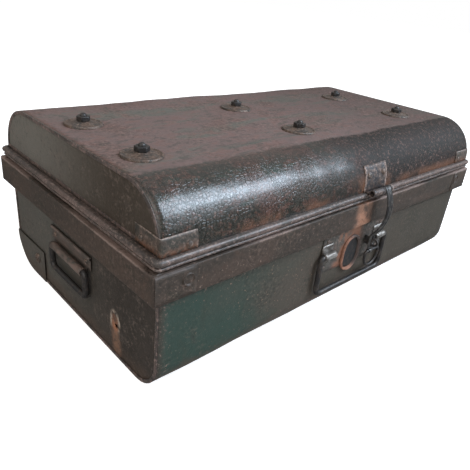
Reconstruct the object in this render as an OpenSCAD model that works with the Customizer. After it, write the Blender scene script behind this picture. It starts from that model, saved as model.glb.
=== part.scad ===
// Painted sheet steel tool trunk with a lift-out tray, on a belt with a domed lid.
// Frame: +X along the length, +Z up, the front looks along -Y.
// The origin is at the middle of the flat bottom. Millimetres.

/* [Size] */
// Overall length, measured over the belt
box_l = 700; // [640:5:760]
// Overall depth, measured over the belt
box_w = 408; // [380:2:440]
// Height of the closed trunk to the lid's sheet
box_h = 255; // [240:1:270]
// Thickness of the body and lid sheet
sheet = 1; // [0.9:0.1:1.2]

/* [Body] */
// How far the belt's ends stand proud of the body's ends
belt_proud_end = 13.5; // [12:0.5:16]
// How far the belt's front stands proud of the body's front
belt_proud_front = 9; // [7:0.5:11]
// Height of the belt's lower edge
belt_z = 136.5; // [130:0.5:140]
// Height of the belt
belt_h = 36.5; // [30:0.5:40]
// Bottom radius at the front
body_r_front = 44; // [35:1:50]
// Bottom radius at the back
body_r_back = 52; // [35:1:56]

/* [Lid] */
// Lid length over its end panels
lid_l = 676; // [674:1:680]
// Lid depth over its sheet
lid_w = 396; // [394:1:400]
// Gap between belt and lid
lid_gap = 0.8; // [0.6:0.1:1.2]
// Radius of the roll along the lid's front
lid_r_front = 62; // [50:1:70]
// Radius of the roll along the lid's back
lid_r_back = 70; // [50:1:75]
// Angle that the lid opens
lid_open = 105; // [90:1:105]
// Radius of each wire in the lid's double bead
bead_r = 2.9; // [2.5:0.1:2.9]

/* [Studs] */
// Spacing of the stud columns along the lid
stud_dx = 266.5; // [240:0.5:280]
// Spacing of the two stud rows
stud_dy = 137; // [120:1:150]
// Where the middle of the stud pattern lies
stud_mid = [-26.5, -23.5]; // [-40:0.5:40]
// Radius of the dished washers
washer_r = 25; // [20:1:28]

/* [Front hardware] */
// Middle of the handle and its plate
handle_x = 15; // [0:1:30]
// Height of the handle's pivot
handle_z = 104; // [100:1:110]
// Distance between the handle's legs
handle_w = 163.5; // [150:0.5:170]
// From the handle's pivot down to its grip
handle_drop = 60; // [50:1:64]
// Radius of the handle's wire
handle_wire_r = 4; // [3:0.1:4.2]
// Middle of the hasp strap
hasp_x = 48.5; // [46:0.5:52]
// Width of the hasp strap
hasp_w = 15; // [12:0.5:15]
// Radius of the hasp's pin
hasp_pin_r = 3; // [2:0.1:3]
// Angle that the hasp swings up
hasp_open = 110; // [90:1:120]
// Radius of the hole in the padlock staple
staple_hole_r = 3.5; // [3:0.1:4]

/* [End handles] */
// Middle of the end handle along the end
grip_y = 5.5; // [0:0.5:10]
// Height of the end handle's pivot
grip_z = 91.5; // [85:0.5:95]
// Distance between the end handle's legs
grip_w = 98; // [90:1:110]
// From the end handle's pivot down to its grip
grip_drop = 36; // [32:1:40]
// Radius of the end handle's wire
grip_wire_r = 4.3; // [3.5:0.1:4.5]

/* [Tray] */
// Tray length
tray_l = 650; // [600:5:655]
// Tray depth, front to back
tray_w = 372; // [340:2:376]
// Tray wall height
tray_h = 44; // [30:1:50]
// Height of the tray's bottom
tray_z = 119; // [100:1:124]
// Thickness of the tray's sheet
tray_sheet = 0.9; // [0.8:0.1:1.2]

/* [Hidden] */

$fn = 64;
fine = 24;
cut = 0.5; // how far a cutting shape runs past what it cuts
fit = 0.08; // running clearance of a wire in its clip

body_l = box_l - 2 * belt_proud_end;
body_w = box_w - 2 * belt_proud_front;
body_x = body_l / 2;
body_y = body_w / 2;
belt_top = belt_z + belt_h;
rim_top = belt_top + 6; // the body's rim stands this high inside the lid

lid_z = belt_top + lid_gap;
lid_x = lid_l / 2;
lid_y = lid_w / 2;
roll_front_z = box_h - lid_r_front;
roll_back_z = box_h - lid_r_back;
flange_x = box_l / 2 - 3;
flange_y = box_w / 2;
flange_h = 3.2 + 4 * bead_r;
flange_top = lid_z + flange_h;
flange_r = 10;

hinge_y = box_w / 2 + 4.6;
hinge_z = belt_top + lid_gap / 2;
hinge_barrel_r = 3.6;
hinge_pin_r = 2;
hinge_w = 46;
hinge_leaf = 1.2;
hinge_xs = [-220, 220];

plate_t = 1.2;
handle_y = -body_y - 2 * plate_t - handle_wire_r - fit;
clip_r = handle_wire_r + fit + plate_t;
clip_w = 25;
clip_xs = [handle_x - handle_w / 2 + handle_wire_r + 1 + clip_w / 2,
           handle_x + handle_w / 2 - handle_wire_r - 1 - clip_w / 2];

hasp_r = hasp_pin_r + 2.4;
hasp_y = -flange_y - hasp_r - 0.6;
hasp_z = flange_top + 1.4;
strap_t = 2.6;
leg_y = -flange_y - 1.8;  // back face of the strap's leg
leg_top = belt_z - 22;
leg_bottom = 92;
ring_wire_r = 2.2;
ring_w = 36;
ring_z = 86;
ring_y = leg_y - strap_t / 2;
staple_z = 103;
staple_t = 3;
staple_tip = 24; // how far the staple stands off its plate

grip_x = body_x + 2.4 + grip_wire_r + fit;
grip_tube_r = grip_wire_r + fit + 1.3;
grip_tube_l = grip_w - 2 * grip_wire_r - 2;
grip_strap_l = 111;
grip_strap_top = 117;

tray_wire_r = 2.5;
tray_bail_w = 110;
tray_bail_drop = 30;
tray_bail_wire_r = 2.5;
tray_bail_x = tray_l / 2 - tray_sheet - tray_bail_wire_r - fit - 1.6;
tray_bail_z = tray_z + tray_h - 8;

stud_spots = [for (i = [-1:1], j = [-1, 1]) [stud_mid[0] + i * stud_dx, stud_mid[1] + j * stud_dy / 2]];

// ---------- shared shapes ----------

// Extrudes a Y-Z outline along X
module along_x(x0, len) {
  translate([x0, 0, 0]) rotate([90, 0, 90]) linear_extrude(len) children();
}

// A cylinder along X, centred on x
module rod_x(x, y, z, r, len) {
  translate([x - len / 2, y, z]) rotate([0, 90, 0]) cylinder(r = r, h = len);
}

// A cylinder along Y from y0 towards -Y
module rod_front(x, y0, z, r, len) {
  translate([x, y0, z]) rotate([90, 0, 0]) cylinder(r = r, h = len);
}

// The body's Y-Z outline, open at the top, drawn in by inset
module body_outline(inset, top) {
  translate([-body_y + body_r_front, inset])
    square([body_w - body_r_front - body_r_back, top - inset]);
  translate([-body_y + inset, body_r_front]) square([body_y - inset, top - body_r_front]);
  translate([0, body_r_back]) square([body_y - inset, top - body_r_back]);
  translate([-body_y + body_r_front, body_r_front]) circle(body_r_front - inset);
  translate([body_y - body_r_back, body_r_back]) circle(body_r_back - inset);
}

// The lid's Y-Z outline from height bottom up, drawn in by inset
module lid_outline(inset, bottom) {
  intersection() {
    union() {
      translate([-lid_y + lid_r_front, bottom])
        square([lid_w - lid_r_front - lid_r_back, box_h - inset - bottom]);
      translate([-lid_y + inset, bottom]) square([lid_y - inset, roll_front_z - bottom]);
      translate([0, bottom]) square([lid_y - inset, roll_back_z - bottom]);
      translate([-lid_y + lid_r_front, roll_front_z]) circle(lid_r_front - inset);
      translate([lid_y - lid_r_back, roll_back_z]) circle(lid_r_back - inset);
    }
    translate([-lid_w, bottom]) square([2 * lid_w, box_h]);
  }
}

// A rectangle of half sizes x and y with corners of radius r
module round_rect(x, y, r) {
  square([2 * (x - r), 2 * y], center = true);
  square([2 * x, 2 * (y - r)], center = true);
  for (i = [-1, 1], j = [-1, 1]) translate([i * (x - r), j * (y - r)]) circle(r);
}

// A quarter bend of wire in the X-Y plane, from +X round to +Y
module elbow(bend, r) {
  rotate_extrude(angle = 90) translate([bend, 0]) circle(r, $fn = fine);
}

// A square ring of wire with rounded corners, flat at z = 0
module wire_ring(x, y, bend, r) {
  for (j = [-1, 1]) translate([-(x - bend), j * y, 0]) rotate([0, 90, 0])
    cylinder(r = r, h = 2 * (x - bend), $fn = fine);
  for (i = [-1, 1]) translate([i * x, y - bend, 0]) rotate([90, 0, 0])
    cylinder(r = r, h = 2 * (y - bend), $fn = fine);
  for (q = [0:3]) {
    sx = (q == 0 || q == 3) ? 1 : -1;
    sy = (q < 2) ? 1 : -1;
    translate([sx * (x - bend), sy * (y - bend), 0]) rotate([0, 0, 90 * q]) elbow(bend, r);
  }
}

// A wire bail that hangs in the X-Z plane from a pivot on the X axis.
// Its top ends turn inwards by stub to sit in the clips.
module wire_bail(width, drop, r, bend, stub) {
  top = 1.2 * r;
  rotate([90, 0, 0]) {
    translate([-(width / 2 - bend), -drop, 0]) rotate([0, 90, 0])
      cylinder(r = r, h = width - 2 * bend);
    for (side = [0, 1]) mirror([side, 0, 0]) {
      translate([width / 2, -top, 0]) rotate([90, 0, 0]) cylinder(r = r, h = drop - bend - top);
      translate([width / 2 - bend, bend - drop, 0]) rotate([0, 0, -90]) elbow(bend, r);
      translate([width / 2 - top, -top, 0]) elbow(top, r);
      translate([width / 2 - top - stub, 0, 0]) rotate([0, 90, 0]) cylinder(r = r, h = stub);
    }
  }
}

// A pan-head rivet on the Z axis with its head upwards
module rivet(r, head) {
  cylinder(r = r, h = head * 0.45, $fn = fine);
  translate([0, 0, head * 0.45]) cylinder(r1 = r, r2 = r * 0.55, h = head * 0.55, $fn = fine);
}

// An L-shaped corner plate outside a box corner at [x, y], legs measured along X and Y
module corner_plate(x, y, z0, h, leg_x, leg_y, t) {
  for (i = [-1, 1], j = [-1, 1]) scale([i, j, 1]) translate([0, 0, z0]) {
    translate([x - leg_x, y, 0]) cube([leg_x + t, t, h]);
    translate([x, y - leg_y, 0]) cube([t, leg_y, h]);
  }
}

// ---------- body ----------

module body_shell() {
  color("#3d3b37") along_x(-body_x + sheet, body_l - 2 * sheet) difference() {
    body_outline(0, rim_top);
    body_outline(sheet, rim_top + cut);
  }
}

// A flat end with the rim folded in under the shell
module body_end(side) {
  scale([side, 1, 1]) {
    along_x(body_x - sheet, sheet) body_outline(0, rim_top);
    along_x(body_x - sheet - 12, 12) difference() {
      body_outline(sheet, rim_top);
      body_outline(2 * sheet, rim_top + cut);
    }
  }
}

module body_left_end() {
  hole = [-108.5, 49];
  color("#38342f") difference() {
    body_end(-1);
    rod_x(-body_x, hole[0], hole[1], 3.2, 4 * sheet);
  }
}

module body_right_end() {
  color("#38342f") body_end(1);
}

// The folded seam round the edge of each end, up to the belt
module body_end_seams() {
  color("#453f3a") for (x = [-body_x - 1, body_x]) along_x(x, 1) difference() {
    body_outline(0, belt_z);
    body_outline(5, belt_z + cut);
  }
}

// A channel that wraps the body, open towards it
module belt() {
  color("#443934") translate([0, 0, belt_z]) difference() {
    translate([0, 0, belt_h / 2]) cube([box_l, box_w, belt_h], center = true);
    translate([0, 0, belt_h / 2])
      cube([box_l - 2 * sheet, box_w - 2 * sheet, belt_h - 2 * sheet], center = true);
    translate([0, 0, belt_h / 2]) cube([body_l, body_w, belt_h + 2 * cut], center = true);
  }
}

module belt_corner_plates() {
  color("#3f3632") {
    corner_plate(box_l / 2, box_w / 2, belt_z + 0.5, belt_h - 1, 55, 42, 0.8);
    for (i = [-1, 1], y = [-box_w / 2 - 0.8, box_w / 2 + 1.8])
      rod_front(i * (box_l / 2 - 43), y, belt_z + belt_h / 2 + 3, 8, 1);
  }
}

// ---------- front handle and lock ----------

plate_x0 = handle_x - 76;
plate_l = 155;
plate_bottom = 72;

module handle_plate() {
  color("#3c3b36") translate([plate_x0, -body_y - plate_t, plate_bottom])
    cube([plate_l, plate_t, belt_z - plate_bottom]);
}

module handle_plate_rivets() {
  color("#4c4742")
    for (x = [plate_x0 + 10, plate_x0 + plate_l - 10], z = [plate_bottom + 10, belt_z - 12])
      translate([x, -body_y - plate_t, z]) rotate([90, 0, 0]) rivet(3, 1.6);
}

// Two strips rolled round the handle's wire, their tails flat on the plate
module handle_clips() {
  color("#57544f") for (x = clip_xs) {
    difference() {
      union() {
        rod_x(x, handle_y, handle_z, clip_r, clip_w);
        translate([x - clip_w / 2, -body_y - 2 * plate_t, handle_z - 16])
          cube([clip_w, plate_t, 32]);
      }
      rod_x(x, handle_y, handle_z, handle_wire_r + fit, clip_w + 2 * cut);
    }
  }
}

// Raised oval rim round the keyhole recess
module lock_cup() {
  cup_r = 22;
  wall = 4;
  color("#8a4b2e") translate([handle_x - 4, -body_y - plate_t, 90]) rotate([90, 0, 0]) {
    linear_extrude(4.5) difference() {
      union() {
        for (z = [-8, 8]) translate([0, z]) circle(cup_r);
        square([2 * cup_r, 16], center = true);
      }
      for (z = [-8, 8]) translate([0, z]) circle(cup_r - wall);
      square([2 * (cup_r - wall), 16], center = true);
    }
  }
}

// Upright lug with an eye for a padlock
module padlock_staple() {
  base = -body_y - plate_t;
  tip = 7;
  color("#2c2a28") difference() {
    union() {
      translate([hasp_x - staple_t / 2, base - staple_tip + tip, staple_z - tip])
        cube([staple_t, staple_tip - tip, 2 * tip]);
      rod_x(hasp_x, base - staple_tip + tip, staple_z, tip, staple_t);
    }
    rod_x(hasp_x, base - staple_tip + tip, staple_z, staple_hole_r, staple_t + 2 * cut);
  }
}

module front_handle() {
  color("#1f1d1c") translate([handle_x, handle_y, handle_z])
    wire_bail(handle_w, handle_drop, handle_wire_r, 11, clip_w);
}

// ---------- end handles ----------

// Strap whose lower edge is rolled into a tube round the grip's wire
module grip_strap(side) {
  color("#3b322e") scale([side, 1, 1]) difference() {
    union() {
      translate([body_x, grip_y - grip_strap_l / 2, grip_z + 6])
        cube([2.4, grip_strap_l, grip_strap_top - grip_z - 6]);
      translate([body_x, grip_y - grip_strap_l / 2, grip_strap_top - 4])
        cube([4.4, grip_strap_l, 4]);
      translate([body_x, grip_y - grip_tube_l / 2, grip_z])
        cube([2.4, grip_tube_l, grip_strap_top - grip_z]);
      translate([grip_x, grip_y + grip_tube_l / 2, grip_z]) rotate([90, 0, 0])
        cylinder(r = grip_tube_r, h = grip_tube_l);
    }
    translate([grip_x, grip_y + grip_w / 2, grip_z]) rotate([90, 0, 0])
      cylinder(r = grip_wire_r + fit, h = grip_w);
  }
}

module left_grip_strap() { grip_strap(-1); }
module right_grip_strap() { grip_strap(1); }

module grip_strap_rivets() {
  color("#5a4a40") for (i = [-1, 1], y = [grip_y - 44, grip_y + 44])
    translate([i * (body_x + 2.4), y, 106]) rotate([0, i * 90, 0]) rivet(4, 1.8);
}

module grip(side) {
  color("#151414") translate([side * grip_x, grip_y, grip_z]) rotate([0, 0, 90])
    wire_bail(grip_w, grip_drop, grip_wire_r, 9, grip_w / 2 - 12);
}

module left_grip() { grip(-1); }
module right_grip() { grip(1); }

// Patch over each lower back corner of the ends
module corner_patches() {
  color("#3a302b") for (x = [-body_x - 2.2, body_x + 1]) along_x(x, 1.2) intersection() {
    body_outline(0, belt_z);
    translate([100, 0]) square([body_y - 100, 52]);
  }
}

module patch_bolts() {
  color("#4a3f38") for (i = [-1, 1]) translate([i * (body_x + 2.2), 121, 33])
    rotate([0, i * 90, 0]) difference() {
      rivet(8, 4);
      translate([0, 0, 4]) cube([1.6, 20, 2.4], center = true);
    }
}

// ---------- tray supports ----------

module tray_ledges() {
  ledge_l = 320;
  color("#4b4640") for (i = [-1, 1]) scale([i, 1, 1]) {
    translate([body_x - sheet - 22, -ledge_l / 2, tray_z - 1.5]) cube([22, ledge_l, 1.4]);
    translate([body_x - sheet - 1.4, -ledge_l / 2, tray_z - 19]) cube([1.4, ledge_l, 18]);
  }
}

// ---------- hinges ----------

// Knuckles on a hinge pin: count of them, width, first centre offset
module knuckles(centres, w) {
  for (x = centres) difference() {
    rod_x(x, hinge_y, hinge_z, hinge_barrel_r, w);
    rod_x(x, hinge_y, hinge_z, hinge_pin_r + fit, w + 2 * cut);
  }
}

knuckle_w = hinge_w / 3 - 0.4;

module hinge_body_leaves() {
  color("#403834") for (x = hinge_xs) {
    knuckles([x - hinge_w / 3, x + hinge_w / 3], knuckle_w);
    for (i = [-1, 1]) translate([x + i * hinge_w / 3 - knuckle_w / 2, box_w / 2, belt_z + 6])
      cube([knuckle_w, hinge_leaf, hinge_z - belt_z - 6]);
    translate([x - hinge_w / 2 + 0.2, box_w / 2, belt_z + 6])
      cube([hinge_w - 0.4, hinge_leaf, belt_h - 14]);
  }
}

module hinge_pins() {
  color("#7a746c") for (x = hinge_xs) rod_x(x, hinge_y, hinge_z, hinge_pin_r, hinge_w);
}

module hinge_lid_leaves() {
  rise = flange_top + 0.2;
  color("#403834") for (x = hinge_xs) {
    knuckles([x], knuckle_w);
    translate([x - knuckle_w / 2, flange_y + 0.2, hinge_z]) cube([knuckle_w, hinge_leaf, rise - hinge_z]);
    translate([x - knuckle_w / 2, lid_y, rise])
      cube([knuckle_w, flange_y - lid_y + 0.2 + hinge_leaf, hinge_leaf]);
    translate([x - hinge_w / 2, 0, 0]) along_x(0, hinge_w) intersection() {
      difference() { lid_outline(-hinge_leaf, rise); lid_outline(0, rise - cut); }
      translate([lid_y / 2, rise]) square([lid_y, 24]);
    }
  }
}

module hinge_rivets() {
  color("#5f5650") for (x = hinge_xs, i = [-1, 1])
    translate([x + i * 14, box_w / 2 + hinge_leaf, belt_z + 14]) rotate([-90, 0, 0]) rivet(2.6, 1.4);
}

module lid_hinge_rivets() {
  a = 6; // the leaf lies this many degrees round the roll where it is riveted
  color("#5f5650") for (x = hinge_xs, i = [-1, 1])
    translate([x + i * 14, lid_y - lid_r_back, roll_back_z]) rotate([a + 6, 0, 0])
      translate([0, lid_r_back + hinge_leaf, 0]) rotate([-90, 0, 0]) rivet(2.6, 1.4);
}

// ---------- lid ----------

module lid_shell() {
  color("#4b413c") difference() {
    along_x(-lid_x + sheet, lid_l - 2 * sheet) difference() {
      lid_outline(0, lid_z);
      lid_outline(sheet, lid_z - cut);
    }
    for (s = stud_spots) translate([s[0], s[1], box_h - 20]) cylinder(r = 5, h = 40);
  }
}

module lid_end(side) {
  scale([side, 1, 1]) {
    along_x(lid_x - sheet, sheet) lid_outline(0, lid_z);
    along_x(lid_x - sheet - 12, 12) difference() {
      lid_outline(sheet, lid_z);
      lid_outline(2 * sheet, lid_z - cut);
    }
  }
}

module lid_left_end() { color("#3f3a35") lid_end(-1); }
module lid_right_end() { color("#3f3a35") lid_end(1); }

// The folded seam round the edge of each lid end, above the flange
module lid_end_seams() {
  color("#4d443e") for (x = [-lid_x - 0.8, lid_x]) along_x(x, 0.8) difference() {
    lid_outline(0, flange_top);
    lid_outline(4.5, flange_top - cut);
  }
}

// The lid's edge turned outwards above and below the bead
module lid_flange() {
  color("#5a4740") for (z = [lid_z, flange_top - 1]) translate([0, 0, z]) linear_extrude(1)
    difference() {
      round_rect(flange_x - bead_r, flange_y - bead_r, flange_r - bead_r);
      square([lid_l, lid_w], center = true);
    }
}

// Two wires one above the other that stiffen the flange
module lid_bead() {
  color("#6a534a") for (z = [lid_z + 1 + bead_r, flange_top - 1 - bead_r]) translate([0, 0, z])
    wire_ring(flange_x - bead_r, flange_y - bead_r, flange_r - bead_r, bead_r);
}

corner_leg_x = 46;
corner_leg_y = 46;
corner_h = 21;

// Plates wrapped round the lid's lower front corners
module lid_corner_plates() {
  t = 1;
  color("#43332c") for (i = [-1, 1]) scale([i, 1, 1]) {
    along_x(lid_x - corner_leg_x, corner_leg_x + 0.8 + t) intersection() {
      difference() { lid_outline(-t, flange_top); lid_outline(0, flange_top - cut); }
      translate([-lid_w, flange_top]) square([lid_w, corner_h]);
    }
    along_x(lid_x + 0.8, t) intersection() {
      lid_outline(-t, flange_top);
      translate([-lid_w, flange_top]) square([lid_w - lid_y + corner_leg_y, corner_h]);
    }
  }
}

module corner_rivets() {
  z = flange_top + 8;
  color("#5c4438") for (i = [-1, 1]) {
    translate([i * (lid_x - 34), -lid_y - 1, z - 1]) rotate([90, 0, 0]) rivet(4, 2);
    translate([i * (lid_x + 1.8), -lid_y + 34, z]) rotate([0, i * 90, 0]) rivet(4, 2);
  }
}

// ---------- studs through the lid ----------

module stud_washers() {
  color("#55483c") for (s = stud_spots) translate([s[0], s[1], box_h]) rotate_extrude()
    polygon([[5, 0], [washer_r, 0], [washer_r, 1.6], [washer_r - 2, 2.4], [washer_r - 4, 1.8],
             [13, 3.6], [9, 5], [5, 5]]);
}

module stud_nuts() {
  color("#3a3129") for (s = stud_spots) translate([s[0], s[1], box_h + 5]) difference() {
    cylinder(r = 9, h = 6.5, $fn = 6);
    translate([0, 0, -cut]) cylinder(r = 4.6, h = 8);
  }
}

// Coach bolts: a flat head under the lid, the shank up through washer and nut
module stud_bolts() {
  color("#2f2822") for (s = stud_spots) translate([s[0], s[1], box_h]) {
    translate([0, 0, -sheet - 3]) cylinder(r = 10, h = 3);
    translate([0, 0, -sheet]) cylinder(r = 4.5, h = sheet + 13);
    translate([0, 0, 13]) cylinder(r1 = 4.5, r2 = 2.5, h = 2.5);
  }
}

// ---------- hasp ----------

hasp_plate_x = 8;
hasp_plate_w = 54.5;

// Plate riveted on the lid's roll; its lower edge is rolled round the pin
module hasp_plate() {
  tube_x0 = 12;
  tube_x1 = hasp_x - hasp_w / 2 - 0.5;
  color("#433a35") {
    along_x(hasp_plate_x, hasp_plate_w) intersection() {
      difference() { lid_outline(-1.2, flange_top); lid_outline(0, flange_top - cut); }
      translate([-lid_w, flange_top]) square([lid_w, 38]);
    }
    difference() {
      union() {
        rod_x((tube_x0 + tube_x1) / 2, hasp_y, hasp_z, hasp_r, tube_x1 - tube_x0);
        translate([tube_x0, hasp_y, flange_top]) cube([tube_x1 - tube_x0, -lid_y - hasp_y, 1.4]);
        rod_x(hasp_x + hasp_w / 2 + 3.5, hasp_y, hasp_z, hasp_r, 6);
        translate([hasp_x + hasp_w / 2 + 0.5, hasp_y, flange_top]) cube([6, -lid_y - hasp_y, 1.4]);
      }
      rod_x(hasp_x, hasp_y, hasp_z, hasp_pin_r, 120);
    }
  }
}

module hasp_rivets() {
  a = 18; // degrees round the roll
  color("#56443c") for (x = [hasp_plate_x + 10, hasp_plate_x + hasp_plate_w - 8])
    translate([x, -lid_y + lid_r_front, roll_front_z]) rotate([-a, 0, 0])
      translate([0, -lid_r_front - 1.2, 0]) rotate([90, 0, 0]) rivet(4.5, 2.2);
}

module hasp_pin() {
  x0 = 22;
  x1 = hasp_x + hasp_w / 2 + 7.5;
  color("#8a837b") rod_x((x0 + x1) / 2, hasp_y, hasp_z, hasp_pin_r, x1 - x0);
}

// Strap that bows out over the belt and comes back to the staple.
// The bow is an arc through the knuckle's front and the top of the leg.
module hasp_strap() {
  bow_h = hasp_z - leg_top;
  sag = 17;
  chord_y = (hasp_y + leg_y) / 2;
  bow_r = (bow_h * bow_h / 4 + sag * sag) / (2 * sag);
  mid_z = (hasp_z + leg_top) / 2;
  x0 = hasp_x - hasp_w / 2;
  eye_x = hasp_x + 2;
  color("#2b2a2b") difference() {
    union() {
      rod_x(hasp_x, hasp_y, hasp_z, hasp_r, hasp_w);
      along_x(x0, hasp_w) difference() {
        intersection() {
          translate([chord_y - sag + bow_r, mid_z]) circle(bow_r, $fn = 160);
          translate([chord_y - 60, leg_top]) square([60, bow_h]);
        }
        translate([chord_y - sag + bow_r, mid_z]) circle(bow_r - strap_t, $fn = 160);
      }
      translate([x0, leg_y - strap_t, leg_bottom]) cube([hasp_w, strap_t, leg_top - leg_bottom + 2]);
      translate([eye_x - 3.5, leg_y - strap_t, ring_z]) cube([7, strap_t, leg_bottom - ring_z]);
      rod_x(eye_x, ring_y, ring_z, ring_wire_r + fit + 1.3, 7);
    }
    rod_x(hasp_x, hasp_y, hasp_z, hasp_pin_r + fit, hasp_w + 2 * cut);
    rod_x(eye_x, ring_y, ring_z, ring_wire_r + fit, 7 + 2 * cut);
    translate([hasp_x - staple_t / 2 - 1.2, leg_y - 10, staple_z - 9]) cube([staple_t + 2.4, 20, 19]);
  }
}

// D-shaped pull that hangs in the strap's eye
module pull_ring() {
  bend = 5;
  half = ring_w / 2;
  drop = 9;
  color("#242324") translate([hasp_x + 10, ring_y, ring_z]) rotate([90, 0, 0]) {
    translate([bend - half, 0, 0]) rotate([0, 90, 0]) cylinder(r = ring_wire_r, h = ring_w - 2 * bend);
    for (side = [0, 1]) mirror([side, 0, 0]) {
      translate([half - bend, -bend, 0]) elbow(bend, ring_wire_r);
      translate([half, -bend, 0]) rotate([90, 0, 0]) cylinder(r = ring_wire_r, h = drop - bend);
    }
    translate([0, -drop, 0]) rotate([0, 0, 180]) rotate_extrude(angle = 180)
      translate([half, 0]) circle(ring_wire_r, $fn = fine);
  }
}

// ---------- tray ----------

// Front wall, floor and back wall of the tray, folded from one sheet
module tray_pan() {
  color("#5b6a5e") along_x(-tray_l / 2 + tray_sheet, tray_l - 2 * tray_sheet) {
    translate([-tray_w / 2, tray_z]) square([tray_w, tray_sheet]);
    for (y = [-tray_w / 2, tray_w / 2 - tray_sheet]) translate([y, tray_z])
      square([tray_sheet, tray_h]);
  }
}

module tray_end(side) {
  color("#5b6a5e") scale([side, 1, 1]) translate([tray_l / 2 - tray_sheet, -tray_w / 2, tray_z])
    cube([tray_sheet, tray_w, tray_h]);
}

module tray_left_end() { tray_end(-1); }
module tray_right_end() { tray_end(1); }

// Wire that the tray's top edge is rolled over
module tray_rim() {
  color("#6a766b") translate([0, 0, tray_z + tray_h + tray_wire_r])
    wire_ring(tray_l / 2 - tray_sheet / 2, tray_w / 2 - tray_sheet / 2, 6, tray_wire_r);
}

module tray_dividers() {
  inner = tray_w - 2 * tray_sheet;
  color("#5b6a5e") for (x = [-112, 112]) {
    translate([x, -inner / 2, tray_z + tray_sheet]) cube([tray_sheet, inner, tray_h - 12]);
    translate([x, -inner / 2, tray_z + tray_sheet]) cube([10, inner, tray_sheet]);
  }
}

module tray_clips() {
  r = tray_bail_wire_r + fit + 1.2;
  wall = tray_l / 2 - tray_sheet;
  color("#565d56") for (i = [-1, 1], y = [-1, 1] * (tray_bail_w / 2 - 14)) scale([i, 1, 1])
    difference() {
      union() {
        translate([tray_bail_x, y + 8, tray_bail_z]) rotate([90, 0, 0]) cylinder(r = r, h = 16);
        translate([wall - 1.2, y - 8, tray_bail_z - 12]) cube([1.2, 16, 16]);
        translate([tray_bail_x, y - 8, tray_bail_z - r]) cube([wall - tray_bail_x, 16, 1.2]);
      }
      translate([tray_bail_x, y + 9, tray_bail_z]) rotate([90, 0, 0])
        cylinder(r = tray_bail_wire_r + fit, h = 18);
    }
}

module tray_bail(side) {
  color("#2a2c2a") translate([side * tray_bail_x, 0, tray_bail_z]) rotate([0, 0, 90])
    wire_bail(tray_bail_w, tray_bail_drop, tray_bail_wire_r, 8, 22);
}

module tray_left_bail() { tray_bail(-1); }
module tray_right_bail() { tray_bail(1); }

body_shell();
body_left_end();
body_right_end();
body_end_seams();
belt();
belt_corner_plates();
handle_plate();
handle_plate_rivets();
handle_clips();
lock_cup();
padlock_staple();
left_grip_strap();
right_grip_strap();
grip_strap_rivets();
corner_patches();
patch_bolts();
hinge_body_leaves();
hinge_pins();
hinge_rivets();
tray_ledges();
lid_shell();
lid_left_end();
lid_right_end();
lid_end_seams();
lid_flange();
lid_bead();
lid_corner_plates();
corner_rivets();
hinge_lid_leaves();
lid_hinge_rivets();
stud_washers();
stud_nuts();
stud_bolts();
hasp_plate();
hasp_rivets();
hasp_pin();
hasp_strap();
pull_ring();
front_handle();
left_grip();
right_grip();
tray_pan();
tray_left_end();
tray_right_end();
tray_rim();
tray_dividers();
tray_clips();
tray_left_bail();
tray_right_bail();
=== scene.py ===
import math

import bmesh
import bpy
from mathutils import Matrix, Vector, noise


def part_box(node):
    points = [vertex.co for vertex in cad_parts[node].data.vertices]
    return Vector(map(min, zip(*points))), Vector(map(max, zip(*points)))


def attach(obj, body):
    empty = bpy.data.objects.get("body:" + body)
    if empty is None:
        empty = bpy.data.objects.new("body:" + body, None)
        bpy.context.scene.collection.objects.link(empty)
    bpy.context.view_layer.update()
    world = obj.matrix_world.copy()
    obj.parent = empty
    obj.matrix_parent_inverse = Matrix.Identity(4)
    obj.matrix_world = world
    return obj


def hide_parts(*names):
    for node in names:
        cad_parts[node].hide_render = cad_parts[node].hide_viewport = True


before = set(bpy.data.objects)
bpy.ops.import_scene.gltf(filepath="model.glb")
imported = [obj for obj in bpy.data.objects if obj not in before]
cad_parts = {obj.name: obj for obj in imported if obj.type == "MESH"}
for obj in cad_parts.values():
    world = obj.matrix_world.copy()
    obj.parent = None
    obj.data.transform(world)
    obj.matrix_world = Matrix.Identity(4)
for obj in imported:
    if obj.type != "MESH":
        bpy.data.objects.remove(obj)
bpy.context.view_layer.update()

# --- Camera and studio --------------------------------------------------------------------
# The trunk stands on a pale floor in soft daylight. The camera looks down on its left front
# corner, with a slight roll.
heading, look_down, roll = 45.1, 26.9, 6.3
camera = bpy.data.objects.new("camera", bpy.data.cameras.new("camera"))
camera.data.lens = 37.2
camera.data.sensor_width = 36
camera.matrix_world = (
    Matrix.Translation((-0.579, -0.536, 0.431))
    @ Matrix.Rotation(math.radians(-heading), 4, "Z")
    @ Matrix.Rotation(math.radians(90 - look_down), 4, "X")
    @ Matrix.Rotation(math.radians(roll), 4, "Z")
)
bpy.context.scene.collection.objects.link(camera)
bpy.context.scene.camera = camera
bpy.context.scene.view_settings.view_transform = "Standard"

world = bpy.data.worlds.new("studio")
bpy.context.scene.world = world
world.use_nodes = True
sky = world.node_tree.nodes["Background"]
sky.inputs["Color"].default_value = (1, 0.97, 0.94, 1)
way = world.node_tree.nodes.new("ShaderNodeTexCoord")
parts = world.node_tree.nodes.new("ShaderNodeSeparateXYZ")
fade = world.node_tree.nodes.new("ShaderNodeMapRange")
fade.inputs["From Min"].default_value = -0.1
fade.inputs["From Max"].default_value = 0.75
fade.inputs["To Min"].default_value = 0.17
fade.inputs["To Max"].default_value = 0.61
world.node_tree.links.new(way.outputs["Generated"], parts.inputs[0])
world.node_tree.links.new(parts.outputs["Z"], fade.inputs["Value"])
world.node_tree.links.new(fade.outputs[0], sky.inputs["Strength"])
backdrop = world.node_tree.nodes.new("ShaderNodeBackground")
backdrop.inputs["Color"].default_value = (1, 1, 1, 1)
seen = world.node_tree.nodes.new("ShaderNodeLightPath")
both = world.node_tree.nodes.new("ShaderNodeMixShader")
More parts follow.
